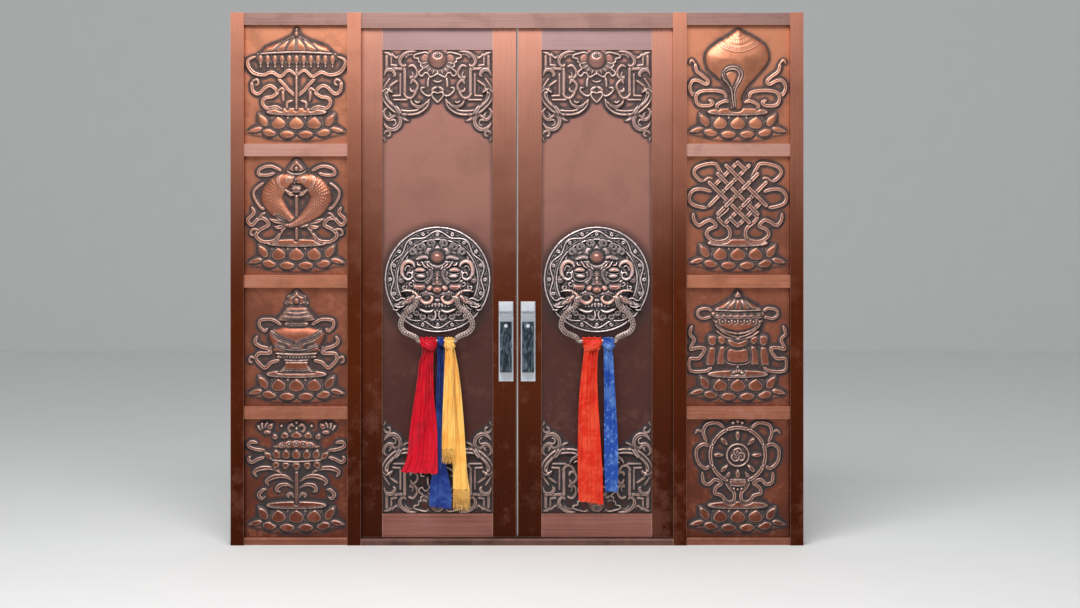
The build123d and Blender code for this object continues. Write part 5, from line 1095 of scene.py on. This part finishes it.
def ring_metal():
    material, tree, shader = new_material("ring_metal")
    clouded = place_group(tree, MOTTLE, {"Color": (0.40, 0.29, 0.26, 1), "Scale": 16.0, "Amount": 0.4,
                                         "Bloom": (0.70, 0.58, 0.54, 1)})
    relief = add_node(tree, "ShaderNodeAttribute", attribute_name="scale_height").outputs["Fac"]
    colour = mix(tree, ramp(tree, relief, 0.55, 0.1), clouded["Color"], (0.022, 0.020, 0.024, 1))
    tree.links.new(mix(tree, ramp(tree, relief, 0.7, 0.95, 0.0, 0.85), colour, (0.82, 0.68, 0.62, 1)),
                   shader["Base Color"])
    tree.links.new(ramp(tree, relief, 0.0, 1.0, 0.6, 0.3), shader["Roughness"])
    shader["Metallic"].default_value = 0.6
    roughen(tree, shader, clouded["Cloud"], 0.2, 0.001)
    return material


def link_object(name, data):
    """Puts a piece in the scene, alone selected and active."""
    piece = bpy.data.objects.new(name, data)
    bpy.context.collection.objects.link(piece)
    bpy.ops.object.select_all(action="DESELECT")
    bpy.context.view_layer.objects.active = piece
    piece.select_set(True)
    return piece


def scaled_ring(name, middle, around=28, pitch=2.4):
    """The ring's skin: hoops along its waved line, swollen into staggered scales but for the bar."""
    line, share = smooth_line(RING_LINE, False, 2.0)
    way = np.concatenate([[0], np.cumsum(np.hypot(*np.diff(line, axis=0).T))])
    stops = np.linspace(0, way[-1], int(way[-1] / pitch))
    half = np.column_stack([np.interp(stops, way, line[:, k]) for k in (0, 1)])
    girth = np.interp(np.interp(stops, way, share), np.linspace(0, 1, len(RING_GIRTH)), RING_GIRTH)
    spine = np.vstack([half, (half * (-1, 1))[-2::-1]])
    girth = np.concatenate([girth, girth[-2::-1]])
    along = np.concatenate([stops, (2 * way[-1] - stops)[-2::-1]])
    tangent = np.gradient(spine, axis=0)
    tangent /= np.hypot(*tangent.T)[:, None]
    theta = np.arange(around) * 2 * math.pi / around
    side = np.abs(np.cos(theta))[None, :]
    row = along[:, None] / 14.0
    bead = np.clip(1.2 - 2.3 * np.hypot(row - np.floor(row) - 0.5, 0.9 * side), 0, 1) ** 0.5
    rim = np.exp(-((side - 0.80) / 0.17) ** 2) * np.ones_like(row)
    notch = 0.16 * (np.abs(row * 2 - np.floor(row * 2) - 0.5) > 0.40) * rim
    scale = np.maximum(0.72 * bead, rim - notch)
    scaled = ((girth > 12.4) & (np.abs(spine[:, 0]) > 97)).astype(float)[:, None]
    scale = scale * scaled + 0.72 * (1 - scaled)
    reach = girth[:, None] * (0.80 + 0.20 * scale)
    normal = np.column_stack([-tangent[:, 1], tangent[:, 0]])
    points = np.empty((len(spine), around, 3))
    points[..., 0] = middle[0] + spine[:, None, 0] + normal[:, None, 0] * reach * np.cos(theta)
    points[..., 1] = RING_Y + reach * np.sin(theta) * np.minimum(1, 12.5 / girth[:, None])
    points[..., 2] = middle[1] + spine[:, None, 1] + normal[:, None, 1] * reach * np.cos(theta)
    count = len(spine)
    faces = [(i * around + j, i * around + (j + 1) % around, (i + 1) * around + (j + 1) % around,
              (i + 1) * around + j) for i in range(count - 1) for j in range(around)]
    faces += [tuple(range(around - 1, -1, -1)), tuple(range((count - 1) * around, count * around))]
    mesh = bpy.data.meshes.new(name)
    mesh.from_pydata((points.reshape(-1, 3) / 1000).tolist(), [], faces)
    mesh.attributes.new("scale_height", "FLOAT", "POINT").data.foreach_set("value", scale.ravel())
    ring = link_object(name, mesh)
    bpy.ops.object.mode_set(mode="EDIT")
    bpy.ops.mesh.select_all(action="SELECT")
    bpy.ops.mesh.normals_make_consistent(inside=False)
    bpy.ops.object.mode_set(mode="OBJECT")
    bpy.ops.object.shade_smooth()
    return ring


ring_material = ring_metal()
for name, side in (("left", -1), ("right", 1)):
    ring = scaled_ring(f"ring_{name}", (side * FIELD_MIDDLE, MASK_MIDDLE))
    ring.data.materials.append(ring_material)
    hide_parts(f"knocker_ring_{name}")
    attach(ring, f"knocker_{name}")


# Scarves: long narrow silk scarves tied round the rings' bars, three on the left ring and two on the right.
# Each is a woven strip round the bar, knotted; its ends, turn and knot are separate sheets laid over one
# another. A cut size is (width, length) in metres; other sizes are in millimetres.
BAR_HEIGHT, WRAP_RADIUS = 1054.0, 20.0
RED_CUT, BLUE_CUT, YELLOW_CUT = (0.22, 0.82), (0.13, 0.98), (0.10, 1.44)
ORANGE_CUT, SKY_CUT = (0.15, 0.95), (0.08, 0.89)
DEEPEST_FOLD = 11.0


def silk(name, colour, shade, weave=900.0, sheen=0.12, damask=0.0, fleck=0.0):
    material, tree, shader = new_material(name)
    place = object_place(tree)
    thread = add_node(tree, "ShaderNodeTexWave", {"Vector": place, "Scale": weave / 6.28, "Distortion": 0.6},
                      bands_direction="Z").outputs["Fac"]
    fold = add_node(tree, "ShaderNodeTexNoise",
                    {"Vector": place, "Scale": 14.0, "Detail": 3.0}).outputs["Fac"]
    figure = add_node(tree, "ShaderNodeTexVoronoi", {"Vector": place, "Scale": 34.0}).outputs["Distance"]
    tone = mix(tree, ramp(tree, fold, 0.42, 0.66, 0.0, 0.55 - 0.4 * fleck), colour, shade)
    tone = mix(tree, math_node(tree, "MULTIPLY", ramp(tree, figure, 0.16, 0.26), damask), tone, shade)
    bare = add_node(tree, "ShaderNodeTexNoise",
                    {"Vector": place, "Scale": 46.0, "Detail": 2.0}).outputs["Fac"]
    tone = mix(tree, ramp(tree, bare, 0.55, 0.66, 0.0, fleck), tone, shade)
    tree.links.new(tone, shader["Base Color"])
    tree.links.new(ramp(tree, thread, 0.0, 1.0, 0.36, 0.56), shader["Roughness"])
    shader["Specular IOR Level"].default_value = 0.25
    shader["Sheen Weight"].default_value = sheen
    shader["Sheen Roughness"].default_value = 0.4
    roughen(tree, shader, thread, 0.15, 0.0003)
    return material


def cloth_mesh(name, patches):
    """One object from sheets of points, each a grid of rows."""
    points, faces = [], []
    for patch in patches:
        rows, columns = patch.shape[:2]
        base = len(points)
        points += (patch.reshape(-1, 3) / 1000).tolist()
        faces += [(base + i * columns + j, base + i * columns + j + 1, base + (i + 1) * columns + j + 1,
                   base + (i + 1) * columns + j) for i in range(rows - 1) for j in range(columns - 1)]
    mesh = bpy.data.meshes.new(name)
    mesh.from_pydata(points, [], faces)
    cloth = link_object(name, mesh)
    bpy.ops.object.shade_smooth()
    return cloth


def tail(middle, left, right, y, folds, cut, phase, columns=76):
    """A hanging end between its edges, its rows folded to the cloth's width or to the deepest fold."""
    share = np.linspace(0, 1, 120)
    edges = []
    for edge in (left, right):
        line = smooth_line(edge, False, 12.0)[0]
        way = np.concatenate([[0], np.cumsum(np.hypot(*np.diff(line, axis=0).T))])
        edges.append(np.column_stack([np.interp(share * way[-1], way, line[:, k]) for k in (0, 1)]))
    s, t = np.linspace(0, 1, columns)[None, :], share[:, None]
    wide = edges[1][:, None, :] - edges[0][:, None, :]
    uneven = s + 0.06 * np.sin(2 * math.pi * (1.2 * s + 0.3 * t) + phase) * s * (1 - s) * 4
    turn = (2 * math.pi * folds * uneven + phase + 0.5 * np.sin(5.1 * t + phase)
            + 0.35 * np.sin(13 * t + 2 * phase))
    full = 0.75 + 0.35 * np.sin(8 * t + 2.6 * phase + 4 * s)
    lean = s + np.sin(math.pi * s) ** 0.5 * full * 1.15 / (2 * math.pi * folds) * np.sin(turn)
    flat = edges[0][:, None, :] + wide * lean[..., None]
    fine = 0.28 * np.sin(2.3 * turn + 21 * t) + 0.22 * np.sin(31 * t + 9 * s + phase)
    points = np.empty((share.size, columns, 3))
    points[..., 0] = middle + flat[..., 0]
    wave = full * (np.cos(turn) + fine)
    low, high = np.zeros_like(t), np.full_like(t, DEEPEST_FOLD)
    for _ in range(14):
        depth = (low + high) / 2
        run = np.hypot(np.diff(points[..., 0], axis=1),
                       np.diff(depth * wave, axis=1)).sum(axis=1, keepdims=True)
        low, high = np.where(run < 1000 * cut[0], depth, low), np.where(run < 1000 * cut[0], high, depth)
    points[..., 1] = y + depth * wave - 10 * np.clip(1 - t / 0.07, 0, 1) ** 2
    points[..., 2] = edges[0][:, None, 1] * (1 - s) + edges[1][:, None, 1] * s + 2.5 * np.sin(turn) * t
    return points


def wrap(middle, low, high, phase, turns=0.97, radius=WRAP_RADIUS):
    """The cloth round the bar, gathered into creases across it."""
    theta = np.linspace(-0.5, 2 * math.pi * turns - 0.5, 44)[:, None]
    s = np.linspace(0, 1, 34)[None, :]
    crease = np.sin(2 * math.pi * 3.4 * s + phase + 0.9 * np.sin(theta + phase)) + 0.4 * np.sin(
        2 * math.pi * 7.1 * s + 2 * theta)
    reach = radius - 2.5 + 2.6 * crease + 3.0 * np.sin(np.pi * s)
    points = np.empty((44, 34, 3))
    points[..., 0] = middle + low + (high - low) * s + 3.0 * np.sin(2 * theta + phase)
    points[..., 1] = RING_Y - reach * np.cos(theta)
    points[..., 2] = BAR_HEIGHT - reach * np.sin(theta)
    return points


def knot(middle, start, end, width, depth, phase, creases=3.0):
    """A pass of the tie across the front: start and end are (right, up) from the bar, tucked in behind."""
    p = np.linspace(0, 1, 40)[:, None]
    q = np.linspace(-1, 1, 26)[None, :]
    (u0, v0), (u1, v1) = start, end
    reach = math.hypot(u1 - u0, v1 - v0)
    across = (-(v1 - v0) / reach, (u1 - u0) / reach)
    half = width / 2 * (0.62 + 0.38 * np.sin(np.pi * p) ** 0.8)
    bow = np.sin(np.pi * p) ** 0.6
    crease = np.cos(np.pi * creases * q + phase + 0.8 * p) + 0.4 * np.cos(np.pi * 2.3 * creases * q - 2 * p)
    points = np.empty((40, 26, 3))
    points[..., 0] = middle + u0 + (u1 - u0) * p + across[0] * half * q + 3 * np.sin(np.pi * p)
    points[..., 1] = RING_Y - 4 - depth * bow * (1 - 0.75 * q ** 4) - 1.5 * crease * bow
    points[..., 2] = BAR_HEIGHT + v0 + (v1 - v0) * p + across[1] * half * q
    return points


def fringe(name, middle, edge, y, length, material, count=34, radius=0.9):
    """Twisted threads along a scarf's cut end."""
    curve = bpy.data.curves.new(name, "CURVE")
    curve.dimensions = "3D"
    curve.bevel_depth = radius / 1000
    curve.bevel_resolution = 1
    edge = np.array(edge, float)
    for k in range(count):
        share = (k + 0.5) / count
        u = np.interp(share, np.linspace(0, 1, len(edge)), edge[:, 0])
        z = np.interp(share, np.linspace(0, 1, len(edge)), edge[:, 1])
        sway = 3.0 * math.sin(2.3 * k)
        long = length * (0.9 + 0.1 * math.sin(5.1 * k))
        spline = curve.splines.new("POLY")
        spline.points.add(3)
        for n, part in enumerate((0, 0.35, 0.7, 1)):
            spline.points[n].co = ((middle + u + sway * part ** 2) / 1000,
                                   (y + 2.5 * math.sin(1.9 * k) * (0.4 + part)) / 1000,
                                   (z - long * part) / 1000, 1)
    link_object(name, curve)
    bpy.ops.object.convert(target="MESH")
    bpy.ops.object.shade_smooth()
    bpy.context.object.data.materials.append(material)
    return bpy.context.object


def hang(cloth, node, side, material, fringes=()):
    cloth.data.materials.append(material)
    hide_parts(node)
    for piece in (cloth, *fringes):
        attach(piece, f"scarves_{side}")


LEFT, RIGHT = -FIELD_MIDDLE, FIELD_MIDDLE
red_silk = silk("red_silk", (0.76, 0.002, 0.022, 1), (0.34, 0.001, 0.010, 1), damask=0.35)
red = cloth_mesh("red_silk_scarf", [
    tail(LEFT, [(-72, 1046), (-76, 985), (-90, 944), (-110, 785), (-138, 604), (-153, 460), (-184, 382)],
         [(-8, 1046), (-16, 975), (-14, 785), (2, 604), (6, 372)], -88, 5.2, RED_CUT, 0.4),
    wrap(LEFT, -86, 0, 0.3), knot(LEFT, (-80, 2), (-6, -38), 54, 23, 1.0),
    knot(LEFT, (-76, -30), (-18, 2), 26, 16, 2.6, 2.0)])
hang(red, "red_scarf", "left", red_silk)
blue_silk = silk("blue_silk", (0.009, 0.028, 0.20, 1), (0.06, 0.14, 0.42, 1), fleck=0.35)
blue = cloth_mesh("blue_silk_scarf", [
    tail(LEFT, [(4, 1040), (2, 940), (-6, 700), (-8, 460), (-34, 310), (-40, 205)],
         [(36, 1040), (40, 900), (42, 700), (42, 460), (72, 300), (74, 190)], -70, 3.4, BLUE_CUT, 1.9),
    wrap(LEFT, 5, 36, 1.4, radius=21), knot(LEFT, (4, 6), (36, -22), 30, 17, 0.6, 2.0)])
hang(blue, "blue_scarf", "left", blue_silk)
yellow_silk = silk("yellow_silk", (0.98, 0.60, 0.17, 1), (0.85, 0.40, 0.05, 1), damask=0.25)
yellow = cloth_mesh("yellow_silk_scarf", [
    tail(LEFT, [(46, 1046), (42, 940), (34, 760), (30, 620), (28, 500)],
         [(80, 1046), (86, 940), (90, 760), (95, 620), (98, 500)], -100, 2.6, YELLOW_CUT, 2.6),
    tail(LEFT, [(60, 1040), (64, 900), (68, 700), (80, 480), (84, 292)],
         [(86, 1040), (114, 893), (136, 676), (156, 388), (170, 288)], -79, 2.6, YELLOW_CUT, 0.9),
    wrap(LEFT, 40, 88, 2.4), knot(LEFT, (42, -4), (88, -40), 46, 22, 2.2),
    knot(LEFT, (40, -32), (84, 4), 24, 17, 0.4, 2.0)])
yellow_fringes = [fringe("yellow_fringe_front", LEFT, [(28, 500), (98, 500)], -100, 76, yellow_silk),
                  fringe("yellow_fringe_back", LEFT, [(84, 292), (170, 288)], -79, 112, yellow_silk, 40)]
hang(yellow, "yellow_scarf", "left", yellow_silk, yellow_fringes)
orange_silk = silk("orange_silk", (0.66, 0.022, 0.006, 1), (0.86, 0.13, 0.05, 1), fleck=0.4)
orange = cloth_mesh("orange_silk_scarf", [
    tail(RIGHT, [(-64, 1046), (-72, 960), (-90, 800), (-98, 600), (-99, 400), (-96, 234)],
         [(12, 1046), (2, 960), (2, 800), (14, 600), (26, 400), (32, 214)], -88, 4.2, ORANGE_CUT, 1.2),
    wrap(RIGHT, -76, 24, 0.9), knot(RIGHT, (18, 0), (-66, -40), 56, 23, 0.2),
    knot(RIGHT, (-66, -4), (14, -40), 30, 17, 1.4, 2.0)])
hang(orange, "orange_scarf", "right", orange_silk)
sky_silk = silk("sky_silk", (0.012, 0.062, 0.34, 1), (0.20, 0.40, 0.74, 1), fleck=0.5)
sky = cloth_mesh("sky_silk_scarf", [
    tail(RIGHT, [(36, 1046), (34, 940), (36, 760), (36, 560), (38, 400), (42, 282)],
         [(76, 1046), (84, 940), (94, 760), (106, 560), (108, 400), (106, 280)], -86, 3.0, SKY_CUT, 2.1),
    wrap(RIGHT, 28, 86, 2.0), knot(RIGHT, (30, -2), (84, -38), 48, 22, 1.7),
    knot(RIGHT, (82, 2), (36, -36), 24, 16, 0.1, 2.0)])
hang(sky, "light_blue_scarf", "right", sky_silk)


# Hinges, bolts and lock: blackened steel hinges on the back, and bright drawn-steel bolts.
def plain_metal(name, colour, cloud, rough, metal, scale=40.0, bump_height=0.0005):
    material, tree, shader = new_material(name)
    place = object_place(tree)
    grain = add_node(tree, "ShaderNodeTexNoise", {"Vector": place, "Scale": scale,
                                                  "Detail": 5.0}).outputs["Fac"]
    tree.links.new(mix(tree, ramp(tree, grain, 0.4, 0.65), colour, cloud), shader["Base Color"])
    tree.links.new(ramp(tree, grain, 0.3, 0.7, rough, rough + 0.12), shader["Roughness"])
    shader["Metallic"].default_value = metal
    roughen(tree, shader, grain, 0.1, bump_height)
    return material


dark_steel = plain_metal("dark_steel", (0.05, 0.048, 0.047, 1), (0.11, 0.09, 0.08, 1), 0.42, 0.7)
bolt_steel = plain_metal("bolt_steel", (0.46, 0.46, 0.45, 1), (0.36, 0.36, 0.36, 1), 0.28, 0.9)
dress(("hinge_frame_halves", "hinge_leaf_halves_left", "hinge_leaf_halves_right", "flush_bolt_guides"),
      dark_steel)
dress(("hinge_pins", "lock_case", "dead_bolt", "latch_bolt", "flush_bolt_top", "flush_bolt_bottom"),
      bolt_steel)


# Pull handles: chromed cast plates with a wide flat grip, a thumb piece and a cylinder lock above it.
chrome = plain_metal("handle_chrome", (0.80, 0.83, 0.88, 1), (0.66, 0.70, 0.76, 1), 0.16, 0.5, 18.0)


# Heights in metres where the grips' painted pale top and painted dark foot begin.
GRIP_PAINTED_TOP, GRIP_PAINTED_FOOT = (1.150, 1.158), (0.899, 0.895)


def grip_chrome():
    """Chrome with painted reflections: dark and pale streaks, a painted highlight on its top and rounded
    edges, painted shade at its foot.
    """
    material, tree, shader = new_material("grip_chrome")
    place = object_place(tree)
    drawn = add_node(tree, "ShaderNodeMapping", {"Vector": place, "Scale": (60.0, 20.0, 16.0)}).outputs[0]
    mirrored = add_node(tree, "ShaderNodeTexNoise", {"Vector": drawn, "Scale": 1.0, "Detail": 6.0,
                                                     "Roughness": 0.62, "Distortion": 1.4}).outputs["Fac"]
    # Painted reflection: dark and pale streaks in the chrome's colour.
    painted_streaks = mix(tree, ramp(tree, mirrored, 0.42, 0.60), (0.05, 0.068, 0.085, 1), (0.19, 0.25, 0.31, 1))
    painted_streaks = mix(tree, ramp(tree, mirrored, 0.60, 0.72, 0.0, 0.8), painted_streaks, (0.72, 0.78, 0.84, 1))
    height = add_node(tree, "ShaderNodeSeparateXYZ", {"Vector": place}).outputs["Z"]
    top = ramp(tree, height, *GRIP_PAINTED_TOP)
    foot = ramp(tree, height, *GRIP_PAINTED_FOOT)
    # A painted highlight over the top and painted shade over the foot.
    colour = mix(tree, top, painted_streaks, (0.86, 0.89, 0.94, 1))
    colour = mix(tree, foot, colour, (0.10, 0.11, 0.12, 1))
    # A painted highlight along the rounded edges.
    edge = place_group(tree, EDGE, {"Radius": 0.003})["Mask"]
    tree.links.new(mix(tree, edge, colour, (0.84, 0.87, 0.92, 1)), shader["Base Color"])
    tree.links.new(ramp(tree, mirrored, 0.4, 0.7, 0.10, 0.2), shader["Roughness"])
    shader["Metallic"].default_value = 0.95
    return material


dress([f"{piece}_{side}" for piece in ("outer_handle", "thumb_piece", "inner_handle")
       for side in ("left", "right")] + ["key_plug"], chrome)
dress(("outer_grip_left", "outer_grip_right"), grip_chrome())


# The studio: a pale floor that turns up into a pale backdrop, one wide lamp high at the left and an even
# sky. Sizes are in metres.
PALE = (0.80, 0.80, 0.79, 1)
FLOOR_WIDTH, WALL_PLACE, WALL_HEIGHT = 60, 16, 24
EYE = (0.144, -8.06, 1.501)


def studio_grey():
    material, tree, shader = new_material("studio_grey")
    place = object_place(tree)
    cloud = add_node(tree, "ShaderNodeTexNoise",
                     {"Vector": place, "Scale": 3.0, "Detail": 3.0}).outputs["Fac"]
    tree.links.new(mix(tree, cloud, PALE, (0.77, 0.77, 0.76, 1)), shader["Base Color"])
    shader["Roughness"].default_value = 0.9
    return material


bpy.ops.object.select_all(action="DESELECT")
bpy.ops.mesh.primitive_plane_add(size=1)
backdrop = bpy.context.object
backdrop.name = "studio_floor"
bpy.ops.object.mode_set(mode="EDIT")
bpy.ops.mesh.select_all(action="SELECT")
bpy.ops.transform.resize(value=(FLOOR_WIDTH, FLOOR_WIDTH, 1))
bpy.ops.transform.translate(value=(0, WALL_PLACE - FLOOR_WIDTH / 2, 0))
bpy.ops.object.mode_set(mode="OBJECT")
edges = [edge for edge in backdrop.data.edges
         if all(backdrop.data.vertices[v].co.y > WALL_PLACE - 0.1 for v in edge.vertices)]
for item in (*backdrop.data.vertices, *backdrop.data.edges, *backdrop.data.polygons):
    item.select = False
for edge in edges:
    edge.select = True
    for v in edge.vertices:
        backdrop.data.vertices[v].select = True
bpy.ops.object.mode_set(mode="EDIT")
bpy.ops.mesh.extrude_region_move(TRANSFORM_OT_translate={"value": (0, 0, WALL_HEIGHT)})
bpy.ops.mesh.select_all(action="SELECT")
bpy.ops.object.mode_set(mode="OBJECT")
backdrop.data.materials.append(studio_grey())

lamp = bpy.data.objects.new("key_lamp", bpy.data.lights.new("key_lamp", "AREA"))
lamp.data.shape = "RECTANGLE"
lamp.data.size = 4.2
lamp.data.size_y = 2.6
lamp.data.energy = 365
lamp.location = (-0.6, -4.0, 5.6)
lamp.rotation_euler = (math.radians(46), 0, math.radians(-8))
bpy.context.collection.objects.link(lamp)
world = bpy.data.worlds.new("even_sky")
bpy.context.scene.world = world
world.use_nodes = True
world.node_tree.nodes["Background"].inputs["Color"].default_value = (0.95, 0.97, 1.0, 1)
world.node_tree.nodes["Background"].inputs["Strength"].default_value = 0.50

camera = bpy.data.objects.new("camera", bpy.data.cameras.new("camera"))
camera.location = EYE
camera.rotation_euler = (math.radians(90), 0, 0)
camera.data.lens = 51.8
camera.data.sensor_width = 36
camera.data.shift_x = -0.0046
camera.data.shift_y = -0.0463
bpy.context.collection.objects.link(camera)
bpy.context.scene.camera = camera
bpy.context.scene.view_settings.view_transform = "Standard"
